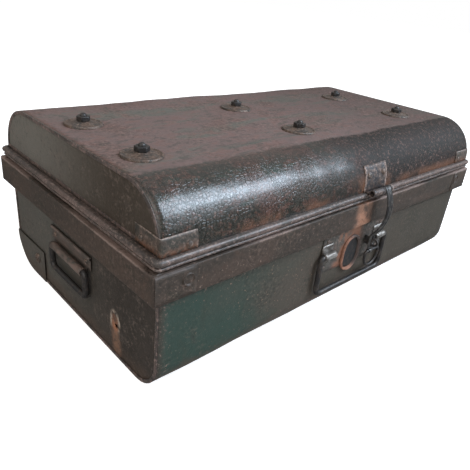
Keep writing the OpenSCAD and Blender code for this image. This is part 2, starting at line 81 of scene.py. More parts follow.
world.node_tree.links.new(seen.outputs["Is Camera Ray"], both.inputs[0])
world.node_tree.links.new(sky.outputs[0], both.inputs[1])
world.node_tree.links.new(backdrop.outputs[0], both.inputs[2])
world.node_tree.links.new(both.outputs[0], world.node_tree.nodes["World Output"].inputs[0])


def soft_light(name, place, target, size, watts, colour):
    lamp = bpy.data.lights.new(name, "AREA")
    lamp.shape = "RECTANGLE"
    lamp.size, lamp.size_y = size
    lamp.energy = watts
    lamp.color = colour
    holder = bpy.data.objects.new(name, lamp)
    holder.location = place
    holder.rotation_euler = (Vector(target) - Vector(place)).to_track_quat("-Z", "Y").to_euler()
    bpy.context.scene.collection.objects.link(holder)


soft_light("window_high", (0.64, -1.12, 1.46), (-0.25, -0.18, 0.23), (0.85, 0.8), 39, (0.72, 0.85, 1))
soft_light("window_low", (1.06, -1.10, 1.16), (-0.2, -0.18, 0.23), (0.55, 0.6), 15, (0.72, 0.85, 1))
soft_light("door", (0.72, -1.5, 0.85), (-0.25, -0.18, 0.22), (0.9, 0.9), 6, (0.80, 0.89, 1))
soft_light("fill", (-1.9, -0.7, 1.1), (-0.2, -0.1, 0.12), (1.6, 1.6), 22, (1, 0.96, 0.92))
soft_light("ceiling", (-0.5, 1.2, 2.5), (0, 0, 0.2), (2.4, 2.4), 6, (1, 0.93, 0.87))

bm = bmesh.new()
bmesh.ops.create_grid(bm, x_segments=1, y_segments=1, size=12)
floor_mesh = bpy.data.meshes.new("floor")
bm.to_mesh(floor_mesh)
bm.free()
floor = bpy.data.objects.new("floor", floor_mesh)
bpy.context.scene.collection.objects.link(floor)
floor.visible_glossy = False
floor_paint = bpy.data.materials.new("pale_floor")
floor_paint.use_nodes = True
floor_shader = floor_paint.node_tree.nodes["Principled BSDF"]
floor_shader.inputs["Base Color"].default_value = (0.9, 0.9, 0.9, 1)
floor_shader.inputs["Roughness"].default_value = 0.9
floor_shader.inputs["Emission Color"].default_value = (1, 1, 1, 1)
floor_shader.inputs["Emission Strength"].default_value = 0.6
floor_mesh.materials.append(floor_paint)


# --- Lid shell ----------------------------------------------------------------------------
# One sheet of 1 mm steel bent over the front and back rolls. Old brown varnish covers it:
# glossy and crackled along the front roll, faded and matt on the top, with worn green below.
class Num:
    """A number socket that takes part in Python sums."""

    def __init__(self, finish, socket):
        self.finish, self.socket = finish, socket

    def join(self, operation, *values):
        inputs = dict(enumerate(values))
        return self.finish.node("ShaderNodeMath", {"operation": operation}, inputs)

    def __add__(self, other):
        return self.join("ADD", self, other)

    def __radd__(self, other):
        return self.join("ADD", other, self)

    def __sub__(self, other):
        return self.join("SUBTRACT", self, other)

    def __rsub__(self, other):
        return self.join("SUBTRACT", other, self)

    def __mul__(self, other):
        return self.join("MULTIPLY", self, other)

    def __rmul__(self, other):
        return self.join("MULTIPLY", other, self)

    def __abs__(self):
        return self.join("ABSOLUTE", self)

    def at_least(self, other):
        return self.join("MAXIMUM", self, other)

    def at_most(self, other):
        return self.join("MINIMUM", self, other)


class Finish:
    """A material, and the patterns that its colours are mixed from."""

    def __init__(self, name, roughness=0.5, metallic=0.0):
        self.material = bpy.data.materials.new(name)
        self.material.use_nodes = True
        self.tree = self.material.node_tree
        self.shader = self.tree.nodes["Principled BSDF"]
        self.set("Roughness", roughness)
        self.set("Metallic", metallic)
        place = self.node("ShaderNodeTexCoord", {}, {}, out="Object")
        self.place = place.socket
        parts = self.node("ShaderNodeSeparateXYZ", {}, {0: place}).socket.node
        self.x, self.y, self.z = (Num(self, parts.outputs[axis]) for axis in "XYZ")

    def node(self, kind, settings, values, out=0):
        made = self.tree.nodes.new(kind)
        for key, value in settings.items():
            setattr(made, key, value)
        for key, value in values.items():
            if isinstance(value, Num):
                self.tree.links.new(value.socket, made.inputs[key])
            else:
                made.inputs[key].default_value = value
        return Num(self, made.outputs[out])

    def set(self, name, value):
        if isinstance(value, Num):
            self.tree.links.new(value.socket, self.shader.inputs[name])
        elif name == "Base Color":
            self.shader.inputs[name].default_value = (*value, 1)
        else:
            self.shader.inputs[name].default_value = value

    def spot(self, stretch=(1, 1, 1), shift=(0, 0, 0)):
        values = {0: Num(self, self.place), "Location": shift, "Scale": stretch}
        return self.node("ShaderNodeMapping", {}, values)

    def clouds(self, size, detail=4, rough=0.55, twist=0.0, stretch=(1, 1, 1), shift=(0, 0, 0)):
        """Noise from 0 to 1 whose blobs are about size metres across."""
        values = {"Vector": self.spot(stretch, shift), "Scale": 1 / size, "Detail": detail,
                  "Roughness": rough, "Distortion": twist}
        return self.node("ShaderNodeTexNoise", {}, values)

    def cracks(self, size, stretch=(1, 1, 1)):
        """Distance from the cracks between cells about size metres across."""
        values = {"Vector": self.spot(stretch), "Scale": 1 / size}
        return self.node("ShaderNodeTexVoronoi", {"feature": "DISTANCE_TO_EDGE"}, values)

    def rise(self, value, low, high):
        """0 below low, 1 above high, smooth between. With low above high it falls."""
        ends = {0: value, 1: low, 2: high}
        return self.node("ShaderNodeMapRange", {"interpolation_type": "SMOOTHSTEP"}, ends)

    def mix(self, mask, first, second):
        """The second colour over the first, by mask."""
        values = {0: mask}
        for key, colour in ((6, first), (7, second)):
            values[key] = colour if isinstance(colour, Num) else (*colour, 1)
        return self.node("ShaderNodeMix", {"data_type": "RGBA"}, values, out=2)

    def chipped(self, colour, pale, dark, share=0.6, size=0.005):
        """Scatters small pale chips and dark pits over a colour."""
        chips = self.clouds(size, 5, 0.75, 0.4, shift=(2, 7, 4))
        colour = self.mix(self.rise(chips, 0.53, 0.61) * share, colour, pale)
        return self.mix(self.rise(chips, 0.47, 0.39) * share, colour, dark)

    def bump(self, height, depth, strength=1.0):
        values = {"Height": height, "Distance": depth, "Strength": strength}
        self.set("Normal", self.node("ShaderNodeBump", {}, values))


def only_edges(geom):
    return [part for part in geom if isinstance(part, bmesh.types.BMEdge)]


def only_verts(geom):
    return [part for part in geom if isinstance(part, bmesh.types.BMVert)]


def run(bm, geom, way, steps=1):
    """Draws geom out in a straight line, in steps, and returns its far end."""
    made = bmesh.ops.spin(bm, geom=geom, cent=(0, 0, 0), axis=(0, 0, 1), angle=0,
                          dvec=Vector(way) / steps, steps=steps, use_duplicate=False)
    return made["geom_last"]


def turn(bm, geom, centre, axis, degrees, steps=8):
    """Draws geom round an arc, in steps, and returns its far end."""
    made = bmesh.ops.spin(bm, geom=geom, cent=centre, axis=axis, angle=math.radians(degrees),
                          dvec=(0, 0, 0), steps=steps, use_duplicate=False)
    return made["geom_last"]


def step(low, high, value):
    share = min(1.0, max(0.0, (value - low) / (high - low)))
    return share * share * (3 - 2 * share)


def dent(bm, size, depth, where=lambda co: 1.0, shift=(0, 0, 0)):
    """Moves the surface in and out by up to depth, in soft waves about size across."""
    bm.normal_update()
    for v in bm.verts:
        v.co += v.normal * (noise.noise(v.co / size + Vector(shift)) * depth * where(v.co))


def set_side(bm, test):
    """Turns each joined sheet so that test, at the face where it is largest, comes out positive."""
    bmesh.ops.recalc_face_normals(bm, faces=bm.faces)
    bm.normal_update()
    left = set(bm.faces)
    while left:
        group, waiting = set(), [left.pop()]
        while waiting:
            face = waiting.pop()
            group.add(face)
            for other in (f for e in face.edges for f in e.link_faces):
                if other in left:
                    left.discard(other)
                    waiting.append(other)
        best = max(group, key=lambda f: abs(test(f)))
        if test(best) < 0:
            bmesh.ops.reverse_faces(bm, faces=list(group))
    bm.normal_update()


def piece(name, bm, finish, body, stands_for=(), sheet=0.0, soften=0.0, sharp=40, levels=0):
    """Turns a mesh into a finished piece that rides on a CAD body."""
    mesh = bpy.data.meshes.new(name)
    bm.to_mesh(mesh)
    bm.free()
    mesh.materials.append(finish.material)
    mesh.polygons.foreach_set("use_smooth", [True] * len(mesh.polygons))
    mesh.set_sharp_from_angle(angle=math.radians(sharp))
    made = bpy.data.objects.new(name, mesh)
    bpy.context.scene.collection.objects.link(made)
    if sheet:
        wall = made.modifiers.new("wall", "SOLIDIFY")
        wall.thickness, wall.offset = sheet, -1
    if soften:
        edges = made.modifiers.new("soften", "BEVEL")
        edges.width, edges.segments, edges.limit_method = soften, 2, "ANGLE"
        edges.angle_limit = math.radians(sharp)
        edges.harden_normals = False
    if levels:
        smooth = made.modifiers.new("smooth", "SUBSURF")
        smooth.levels = smooth.render_levels = levels
    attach(made, body)
    if stands_for:
        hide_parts(*stands_for)
    return made


lid_low, lid_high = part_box("lid_shell")
lid_end_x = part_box("lid_right_end")[1].x
flange_low, flange_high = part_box("lid_flange")
sheet_t = 0.001
front_r, back_r = 0.062, 0.070
fold_y = lid_low.y + front_r
top_z = lid_high.z
flange_top = flange_high.z
stud_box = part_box("stud_washers")
stud_r = 0.025
stud_xs = [stud_box[0].x + stud_r, (stud_box[0].x + stud_box[1].x) / 2, stud_box[1].x - stud_r]
stud_ys = [stud_box[0].y + stud_r, stud_box[1].y - stud_r]
studs = [Vector((x, y)) for x in stud_xs for y in stud_ys]


def lid_line(bm, x, bottom, steps=12):
    """The lid's outline at x, from the front's lower edge over the top to the back's."""
    front_z, back_z = top_z - front_r, top_z - back_r
    tip = [bm.verts.new((x, lid_low.y, bottom))]
    if front_z > bottom + 0.001:
        tip = run(bm, tip, (0, 0, front_z - bottom))
    tip = turn(bm, tip, (x, fold_y, front_z), (1, 0, 0), -90, steps)
    tip = run(bm, tip, (0, lid_high.y - back_r - fold_y, 0), 2 * steps + 6)
    drop = 90
    if back_z < bottom:
        drop = 90 - math.degrees(math.asin((bottom - back_z) / back_r))
    tip = turn(bm, tip, (x, lid_high.y - back_r, back_z), (1, 0, 0), -drop, steps)
    if back_z > bottom + 0.001:
        run(bm, tip, (0, 0, bottom - back_z))
    bmesh.ops.remove_doubles(bm, verts=bm.verts, dist=1e-6)


def away_from_studs(co):
    near = min((stud - co.xy).length for stud in studs)
    return step(stud_r, 0.07, near)


def lid_slack(co):
    """1 on the free sheet, 0 at the studs and along the ends and lower edges."""
    ends = step(lid_end_x, lid_end_x - 0.038, abs(co.x))
    edges = step(flange_top, flange_top + 0.03, co.z)
    return away_from_studs(co) * ends * edges


bm = bmesh.new()
lid_line(bm, lid_low.x, lid_low.z)
run(bm, bm.edges[:], (lid_high.x - lid_low.x, 0, 0), 84)
set_side(bm, lambda f: f.normal.z)
dent(bm, 0.13, 0.0030, lid_slack)
dent(bm, 0.045, 0.0009, lid_slack, (5, 2, 8))

varnish = Finish("lid_varnish")
edge_line = varnish.clouds(0.03, 4, 0.65, shift=(4, 4, 0))
front = varnish.rise(varnish.y + (edge_line - 0.5) * 0.016, fold_y - 0.001, fold_y - 0.008)
back = varnish.rise(varnish.y, 0.14, 0.18)
streaks = varnish.clouds(0.05, 5, 0.6, 0.6, stretch=(0.22, 1, 1))
blotch = varnish.clouds(0.075, 5, 0.62, 0.4)
specks = varnish.clouds(0.006, 4, 0.7)
grain = varnish.clouds(0.0016, 3, 0.7)
crackle = varnish.cracks(0.0046)
crazed = varnish.rise(varnish.clouds(0.035, 4, 0.6, shift=(9, 1, 5)), 0.36, 0.56)
wrinkle = varnish.clouds(0.007, 5, 0.7, 1.6)
colour = varnish.mix(varnish.rise(streaks, 0.50, 0.62), (0.112, 0.077, 0.070), (0.086, 0.083, 0.070))
colour = varnish.mix(varnish.rise(blotch, 0.48, 0.66) * 0.6, colour, (0.098, 0.056, 0.046))
flakes = varnish.clouds(0.016, 6, 0.74, 0.8, stretch=(0.6, 1, 1))
colour = varnish.mix(varnish.rise(flakes, 0.53, 0.58) * 0.5, colour, (0.130, 0.070, 0.058))
colour = varnish.mix(varnish.rise(flakes, 0.46, 0.41) * 0.55, colour, (0.046, 0.044, 0.036))
green_lip = varnish.rise(varnish.y, -0.085, -0.125) * varnish.rise(abs(varnish.x + 0.03), 0.20, 0.10)
colour = varnish.mix(green_lip * varnish.rise(streaks, 0.46, 0.56) * 0.7, colour, (0.034, 0.058, 0.046))
colour = varnish.mix(varnish.rise(varnish.x, -0.10, 0.34) * 0.6, colour, (0.040, 0.024, 0.019))
chip_share = varnish.rise(blotch, 0.40, 0.62) * 0.45 + 0.12
colour = varnish.chipped(colour, (0.185, 0.125, 0.108), (0.030, 0.022, 0.019), chip_share)
roll_colour = varnish.mix(varnish.rise(blotch, 0.47, 0.60), (0.022, 0.022, 0.018), (0.042, 0.024, 0.019))
roll_colour = varnish.mix(varnish.rise(streaks, 0.56, 0.64) * 0.8, roll_colour, (0.014, 0.030, 0.023))
roll_colour = varnish.mix(varnish.rise(flakes, 0.54, 0.59) * 0.6, roll_colour, (0.060, 0.026, 0.019))
roll_colour = varnish.mix(varnish.rise(varnish.x, -0.14, 0.08) * 0.85, roll_colour, (0.009, 0.005, 0.003))
roll_colour = varnish.chipped(roll_colour, (0.105, 0.060, 0.048), (0.008, 0.008, 0.007), 0.6)
roll_colour = varnish.mix(varnish.rise(crackle, 0.07, 0.02) * 0.8, roll_colour, (0.008, 0.007, 0.006))
colour = varnish.mix(front, colour, roll_colour)
colour = varnish.mix(back * 0.6, colour, roll_colour)
hasp_rust = varnish.rise(abs(varnish.x - 0.02), 0.075, 0.02) * varnish.rise(varnish.z, 0.222, 0.192)
rust = (hasp_rust + varnish.rise(varnish.z, 0.206, 0.190) * 0.5) * varnish.rise(blotch, 0.38, 0.60)
colour = varnish.mix(rust * front, colour, (0.150, 0.062, 0.030))
varnish.set("Base Color", colour)
shine = front * varnish.rise(varnish.x + (blotch - 0.5) * 0.3, 0.04, -0.16)
varnish.set("Specular IOR Level", 0.28)
varnish.set("Coat Weight", shine * 0.4)
varnish.set("Coat Roughness", 0.22)
gloss = shine * (1 - varnish.rise(blotch, 0.62, 0.74) * 0.5)
varnish.set("Roughness", 0.60 + specks * 0.16 - gloss.at_most(1) * 0.46)
cells = varnish.rise(crackle, 0, 0.20) * front * (crazed * 0.35 + 0.08)
varnish.bump(cells + wrinkle * (0.40 + front * 0.1) + grain * 0.12, 0.0008, 0.9)
piece("lid_shell_skin", bm, varnish, "lid", ["lid_shell"], sheet=sheet_t)


# --- Lid ends -----------------------------------------------------------------------------
# Flat sheet panels whose edges are folded over with the shell's into a narrow raised seam.
# They have the same brown-green enamel as the body's ends, darker towards the front.
def fill_outline(bm):
    """Fills a closed outline with one face."""
    bmesh.ops.contextual_create(bm, geom=bm.edges[:])


def cut(bm, at, way):
    """Cuts the faces that cross the plane through at, square to way."""
    geom = bm.verts[:] + bm.edges[:] + bm.faces[:]
    bmesh.ops.bisect_plane(bm, geom=geom, dist=1e-6, plane_co=at, plane_no=way)


def grid_cuts(bm, axis, low, high, count):
    """Cuts the mesh square across an axis into count strips."""
    way = Vector([float(k == axis) for k in range(3)])
    for k in range(1, count):
        cut(bm, way * (low + (high - low) * k / count), way)


def face_out(bm, side):
    """Turns a flat end's faces to look outwards along X."""
    bm.normal_update()
    for f in bm.faces:
        if f.normal.x * side < 0:
            f.normal_flip()


def close_bottom(bm):
    """Joins the two loose ends of an outline."""
    ends = [v for v in bm.verts if len(v.link_edges) == 1]
    bm.edges.new(ends)


def end_paint(name, far_colour, near_colour):
    """The ends' enamel: its finish, its colour so far, and three of its patterns."""
    paint = Finish(name)
    paint.set("Specular IOR Level", 0.3)
    worn = paint.clouds(0.09, 5, 0.6, 0.8, stretch=(1, 1, 0.45))
    stain = paint.clouds(0.03, 5, 0.65, 0.3)
    speck = paint.clouds(0.0035, 4, 0.75)
    grain = paint.clouds(0.0013, 3, 0.7)
    forward = paint.rise(paint.y + (worn - 0.5) * 0.12, 0.13, -0.14)
    colour = paint.mix(forward, far_colour, near_colour)
    colour = paint.mix(paint.rise(worn, 0.50, 0.68) * 0.35, colour, (0.046, 0.034, 0.028))
    colour = paint.mix(paint.rise(stain, 0.55, 0.75) * 0.35, colour, (0.062, 0.046, 0.037))
    scuffs = paint.rise(stain, 0.42, 0.62) * 0.4 + 0.12
    colour = paint.chipped(colour, (0.105, 0.078, 0.062), (0.012, 0.010, 0.008), scuffs)
    return paint, colour, stain, speck, grain


def end_panel(outline, x, side, hole=None):
    """A flat sheet inside an outline, cut into a grid so that it can be a little out of flat."""
    bm = bmesh.new()
    outline(bm, x)
    close_bottom(bm)
    if hole:
        place = Matrix.Translation((x, *hole[0])) @ Matrix.Rotation(math.pi / 2, 4, "Y")
        bmesh.ops.create_circle(bm, radius=hole[1], segments=20, matrix=place)
        bmesh.ops.triangle_fill(bm, use_beauty=True, use_dissolve=False, edges=bm.edges[:])
    else:
        fill_outline(bm)
    zs = [v.co.z for v in bm.verts]
    grid_cuts(bm, 1, -0.2, 0.2, 24)
    grid_cuts(bm, 2, min(zs), max(zs), 8)
    face_out(bm, side)
    return bm


def lid_end_slack(co):
    return step(0.0, 0.03, min(lid_high.y - 0.002 - abs(co.y), top_z - co.z))


lid_far, lid_near = (0.082, 0.076, 0.064), (0.029, 0.021, 0.014)
lid_end, colour, stain, speck, grain = end_paint("lid_end_paint", lid_far, lid_near)
lid_end.set("Base Color", colour)
lid_end.set("Roughness", 0.50 + speck * 0.2)
lid_end.bump(stain * 0.8 + speck * 0.35 + grain * 0.2, 0.0009, 0.6)
for side, name in ((-1, "left"), (1, "right")):
    bm = end_panel(lambda bm, x: lid_line(bm, x, lid_low.z), side * lid_end_x, side)
    dent(bm, 0.09, 0.0014, lid_end_slack, (side, 0, 0))
    piece(f"lid_{name}_panel", bm, lid_end, "lid", [f"lid_{name}_end"], sheet=sheet_t)


def seam_strip(bm, outline, x, side, width, proud):
    """The folded edge round an end: a narrow strip that stands proud of the panel."""
    outline(bm, x)
    close_bottom(bm)
    fill_outline(bm)
    face_out(bm, side)
    inner = bm.faces[:]
    bmesh.ops.inset_region(bm, faces=inner, thickness=width, use_boundary=True,
                           use_even_offset=True)
    bmesh.ops.delete(bm, geom=inner, context="FACES")
    out = bmesh.ops.extrude_face_region(bm, geom=bm.faces[:])["geom"]
    bmesh.ops.translate(bm, verts=only_verts(out), vec=(side * proud, 0, 0))
    bmesh.ops.recalc_face_normals(bm, faces=bm.faces)


seam = Finish("seam_paint", 0.55)
speck = seam.clouds(0.004, 4, 0.75)
patch = seam.clouds(0.03, 4, 0.6)
colour = seam.mix(seam.rise(patch, 0.42, 0.60), (0.034, 0.027, 0.023), (0.066, 0.045, 0.038))
colour = seam.chipped(colour, (0.170, 0.110, 0.092), (0.014, 0.011, 0.010), 0.7)
seam.set("Base Color", colour)
seam.bump(speck, 0.0006, 0.6)
for side, name in ((-1, "left"), (1, "right")):
    bm = bmesh.new()
    seam_strip(bm, lambda bm, x: lid_line(bm, x, flange_top), side * lid_end_x, side, 0.0045, 0.0008)
    piece(f"lid_{name}_seam", bm, seam, "lid", ["lid_end_seams"], soften=0.0004)


# --- Lid's double bead --------------------------------------------------------------------
# The lid's lower edge is turned outwards and rolled over two wires. Handling has worn the
# brown paint on both ridges to a dull pinkish undercoat, with bare metal at the front. The pale
# crests are also a painted highlight, and the groove between the wires is painted shade.
bead_r = 0.0029
flange_half = Vector((flange_high.x + bead_r, flange_high.y + bead_r))
bead_bend = 0.007


def sweep_round(bm, half, bend, steps=(40, 24)):
    """Sweeps the section in bm, drawn at x = 0 on the front, round a box's four sides."""
    tip = bm.edges[:]
    across, along = half.x - bend, half.y - bend
    lengths = (across, 2 * along, 2 * across, 2 * along, across)
    ways = ((1, 0), (0, 1), (-1, 0), (0, -1), (1, 0))
    corners = ((1, -1), (1, 1), (-1, 1), (-1, -1))
    for k, (length, way) in enumerate(zip(lengths, ways)):
        count = steps[k % 2] if k in (1, 2, 3) else steps[0] // 2
        tip = only_edges(run(bm, tip, (way[0] * length, way[1] * length, 0), count))
        if k < 4:
            centre = (corners[k][0] * across, corners[k][1] * along, 0)
            tip = only_edges(turn(bm, tip, centre, (0, 0, 1), 90, 6))
    bmesh.ops.remove_doubles(bm, verts=bm.verts, dist=1e-5)
    bmesh.ops.recalc_face_normals(bm, faces=bm.faces)


bm = bmesh.new()
face = -flange_half.y
low_wire, high_wire = flange_low.z + 0.001 + bead_r, flange_top - 0.001 - bead_r
tip = [bm.verts.new((0, face + 0.0085, flange_top))]
tip = run(bm, tip, (0, bead_r - 0.0085, 0), 2)
tip = turn(bm, tip, (0, face + bead_r, high_wire), (1, 0, 0), 165, 8)
tip = run(bm, tip, (0, 0.0006, low_wire + bead_r - high_wire + bead_r), 1)
tip = turn(bm, tip, (0, face + bead_r, low_wire), (1, 0, 0), 170, 8)
tip = run(bm, tip, (0, 0.0085 - bead_r, 0), 2)
sweep_round(bm, flange_half, bead_bend)
dent(bm, 0.06, 0.0006, shift=(3, 3, 3))

bead = Finish("bead_paint")
wear = bead.clouds(0.03, 5, 0.65, 0.6, stretch=(0.3, 0.3, 1))
fleck = bead.clouds(0.003, 4, 0.75)
outer_y = bead.rise(abs(bead.y), flange_half.y - 0.0030, flange_half.y - 0.0002)
outer_x = bead.rise(abs(bead.x), flange_half.x - 0.0028, flange_half.x - 0.0004)
outer = outer_y.at_least(outer_x)
colour = bead.mix(bead.rise(wear, 0.40, 0.62), (0.034, 0.027, 0.023), (0.060, 0.043, 0.036))
# The groove between the two wires is painted near-black: painted shade.
groove_shade = bead.rise(abs(bead.z - (low_wire + high_wire) / 2), 0.0016, 0.0004)
# The pale outer crests are worn paint and also a painted highlight.
crest_wear_and_highlight = outer * bead.rise(wear + (fleck - 0.5) * 0.5, 0.34, 0.62)
colour = bead.mix(crest_wear_and_highlight * 0.45, colour, (0.105, 0.068, 0.056))
colour = bead.chipped(colour, (0.230, 0.165, 0.140), (0.012, 0.009, 0.008), 0.55, 0.004)
colour = bead.mix(groove_shade * 0.9, colour, (0.008, 0.006, 0.005))
bead.set("Base Color", colour)
bead.set("Roughness", 0.52 - crest_wear_and_highlight * 0.12)
bead.bump(fleck + wear * 0.5, 0.0006, 0.5)
piece("lid_double_bead", bm, bead, "lid", ["lid_flange", "lid_bead"], sheet=0.0008)


# --- Body shell ---------------------------------------------------------------------------
# One sheet bent round the front, bottom and back. Dark green enamel, most complete at the
# front's left, worn to olive and brown to the right, and rusted along the lower edge.
body_low, body_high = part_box("body_shell")
body_front_r, body_back_r = 0.044, 0.052


def body_line(bm, x, top, steps=10):
    """The body's outline at x, from the front's upper edge under the bottom to the back's."""
    tip = [bm.verts.new((x, body_low.y, top))]
    tip = run(bm, tip, (0, 0, body_front_r - top), 10)
    tip = turn(bm, tip, (x, body_low.y + body_front_r, body_front_r), (1, 0, 0), 90, steps)
    tip = run(bm, tip, (0, body_high.y - body_low.y - body_front_r - body_back_r, 0), 16)
    tip = turn(bm, tip, (x, body_high.y - body_back_r, body_back_r), (1, 0, 0), 90, steps)
    run(bm, tip, (0, 0, top - body_back_r), 10)


def wall_slack(co):
    ends = step(0.335, 0.29, abs(co.x))
    return ends * step(0.135, 0.11, co.z) * step(0.004, 0.03, co.z) * step(0.085, 0.12, abs(co.x - 0.015))


bm = bmesh.new()
body_line(bm, body_low.x, body_high.z)
run(bm, bm.edges[:], (body_high.x - body_low.x, 0, 0), 70)
set_side(bm, lambda f: -f.normal.z)
dent(bm, 0.11, 0.0024, wall_slack, (1, 4, 1))
dent(bm, 0.04, 0.0007, wall_slack, (7, 1, 2))

enamel = Finish("body_enamel")
drift = enamel.clouds(0.16, 4, 0.55, 0.7)
flow = enamel.clouds(0.045, 5, 0.62, 0.5, stretch=(1, 1, 0.5))
speck = enamel.clouds(0.0035, 4, 0.75)
grain = enamel.clouds(0.0014, 3, 0.7)
faded = enamel.rise(enamel.x + (drift - 0.5) * 0.30, -0.25, -0.08)
colour = enamel.mix(faded, (0.017, 0.033, 0.025), (0.042, 0.033, 0.024))
colour = enamel.mix(enamel.rise(flow, 0.50, 0.66) * 0.45, colour, (0.030, 0.026, 0.019))
colour = enamel.mix(enamel.rise(flow, 0.42, 0.30) * 0.4, colour, (0.020, 0.027, 0.019))
edge_rust = enamel.rise(enamel.z + (flow - 0.5) * 0.05, 0.038, 0.008)
colour = enamel.mix(edge_rust * 0.8, colour, (0.066, 0.037, 0.026))
corner = enamel.rise(abs(enamel.x) + (speck - 0.5) * 0.03, 0.322, 0.336)
colour = enamel.mix(corner * 0.6, colour, (0.048, 0.034, 0.028))
colour = enamel.mix(corner * enamel.rise(speck, 0.56, 0.66) * 0.8, colour, (0.130, 0.105, 0.092))
colour = enamel.mix(enamel.rise(enamel.x, 0.0, 0.28) * 0.4, colour, (0.018, 0.016, 0.010))
under_belt = enamel.rise(enamel.z, 0.118, 0.137)
colour = enamel.mix(under_belt * 0.45, colour, (0.040, 0.034, 0.030))
scuffs = enamel.rise(flow, 0.42, 0.60) * 0.35 + 0.12
colour = enamel.chipped(colour, (0.078, 0.062, 0.046), (0.009, 0.013, 0.010), scuffs)
colour = enamel.mix(enamel.rise(speck, 0.62, 0.68) * 0.8, colour, (0.170, 0.105, 0.075))
enamel.set("Base Color", colour)
enamel.set("Specular IOR Level", 0.35)
enamel.set("Roughness", 0.46 + speck * 0.2 + faded * 0.08)
enamel.bump(flow * 0.6 + speck * 0.4 + grain * 0.2, 0.0009, 0.55)
piece("body_shell_skin", bm, enamel, "trunk", ["body_shell"], sheet=sheet_t)


# --- Body ends ----------------------------------------------------------------------------
# Flat panels folded onto the shell. The left one has lost a bolt near its lower front
# corner. The hole is ringed with bare pale metal, and rust has run down from it.
hole_y, hole_z, hole_r = -0.1085, 0.049, 0.0032
body_end_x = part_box("body_right_end")[1].x
belt_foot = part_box("belt")[0].z
body_far, body_near = (0.052, 0.050, 0.042), (0.022, 0.017, 0.013)
bolt_end, colour, stain, speck, grain = end_paint("body_end_paint", body_far, body_near)
low = bolt_end.rise(bolt_end.z + (stain - 0.5) * 0.03, 0.030, 0.006)
colour = bolt_end.mix(low * 0.6, colour, (0.050, 0.031, 0.021))
left = bolt_end.rise(bolt_end.x, 0.0, -0.1)
spread = bolt_end.clouds(0.014, 4, 0.7)
dy = bolt_end.y - hole_y - 0.003 + (spread - 0.5) * 0.012
dz = bolt_end.z - hole_z + (stain - 0.5) * 0.008
slide = abs(dy - dz * 0.08)
run_mask = bolt_end.rise(slide, 0.015, 0.004) * bolt_end.rise(dz, 0.010, -0.004) * left
colour = bolt_end.mix(run_mask * bolt_end.rise(spread, 0.30, 0.60), colour, (0.120, 0.062, 0.036))
far = dy * dy + (dz - 0.003) * (dz - 0.003) * 0.4
far = bolt_end.node("ShaderNodeMath", {"operation": "SQRT"}, {0: far})
halo = bolt_end.rise(far, 0.0135, 0.0100) * bolt_end.rise(far, 0.0060, 0.0090) * left
halo = halo * bolt_end.rise(dz, -0.010, 0.004) * bolt_end.rise(spread, 0.34, 0.56)
colour = bolt_end.mix(halo * 0.8, colour, (0.260, 0.205, 0.160))
centre_rust = bolt_end.rise(far, 0.0095, 0.0050) * left
colour = bolt_end.mix(centre_rust * bolt_end.rise(stain, 0.30, 0.56) * 0.9, colour, (0.170, 0.070, 0.034))
colour = bolt_end.mix(bolt_end.rise(speck, 0.60, 0.72) * 0.3, colour, (0.090, 0.074, 0.060))
bolt_end.set("Base Color", colour)
bolt_end.set("Roughness", 0.50 + speck * 0.2 + run_mask * 0.15)
bolt_end.bump(stain * 0.8 + speck * 0.35 + grain * 0.2, 0.0009, 0.6)


def end_slack(co):
    edge = min(0.192 - abs(co.y), co.z, 0.137 - co.z)
    return step(0.0, 0.03, edge)


for side, name in ((-1, "left"), (1, "right")):
    hole = ((hole_y, hole_z), hole_r) if side < 0 else None
    bm = end_panel(lambda bm, x: body_line(bm, x, body_high.z), side * body_end_x, side, hole)
    dent(bm, 0.10, 0.0016, end_slack, (side, 5, 0))
    piece(f"body_{name}_panel", bm, bolt_end, "trunk", [f"body_{name}_end"], sheet=sheet_t)
    bm = bmesh.new()
    seam_strip(bm, lambda bm, x: body_line(bm, x, belt_foot), side * body_end_x, side, 0.005, 0.001)
    piece(f"body_{name}_seam", bm, seam, "trunk", ["body_end_seams"], soften=0.0004)


# --- Belt ---------------------------------------------------------------------------------
# A channel of sheet that wraps the body's top, with corner plates lapped over its corners
# and a pressed button in each. Brown paint, rubbed along the top edge and at the corners. The
# pale top edge is also a painted highlight.
belt_low, belt_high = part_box("belt")
bm = bmesh.new()
lip = 0.0135
tip = [bm.verts.new((0, belt_low.y + lip, belt_high.z))]
tip = run(bm, tip, (0, 0.0012 - lip, 0), 2)
tip = turn(bm, tip, (0, belt_low.y + 0.0012, belt_high.z - 0.0012), (1, 0, 0), 90, 3)
tip = run(bm, tip, (0, 0, belt_low.z - belt_high.z + 0.0024), 6)
tip = turn(bm, tip, (0, belt_low.y + 0.0012, belt_low.z + 0.0012), (1, 0, 0), 90, 3)
tip = run(bm, tip, (0, lip - 0.0012, 0), 2)
sweep_round(bm, Vector((belt_high.x, belt_high.y)), 0.0016, (56, 32))
dent(bm, 0.05, 0.0006, shift=(9, 3, 3))

brown = Finish("belt_paint")
wear = brown.clouds(0.06, 5, 0.62, 0.7, stretch=(0.4, 0.4, 1))
stain = brown.clouds(0.022, 5, 0.65, 0.5)
speck = brown.clouds(0.0035, 4, 0.75)
grain = brown.clouds(0.0014, 3, 0.7)
colour = brown.mix(brown.rise(wear, 0.42, 0.62), (0.027, 0.020, 0.015), (0.038, 0.025, 0.018))
colour = brown.mix(brown.rise(stain, 0.54, 0.70) * 0.5, colour, (0.022, 0.021, 0.014))
colour = brown.mix(brown.rise(stain, 0.42, 0.30) * 0.5, colour, (0.046, 0.025, 0.016))
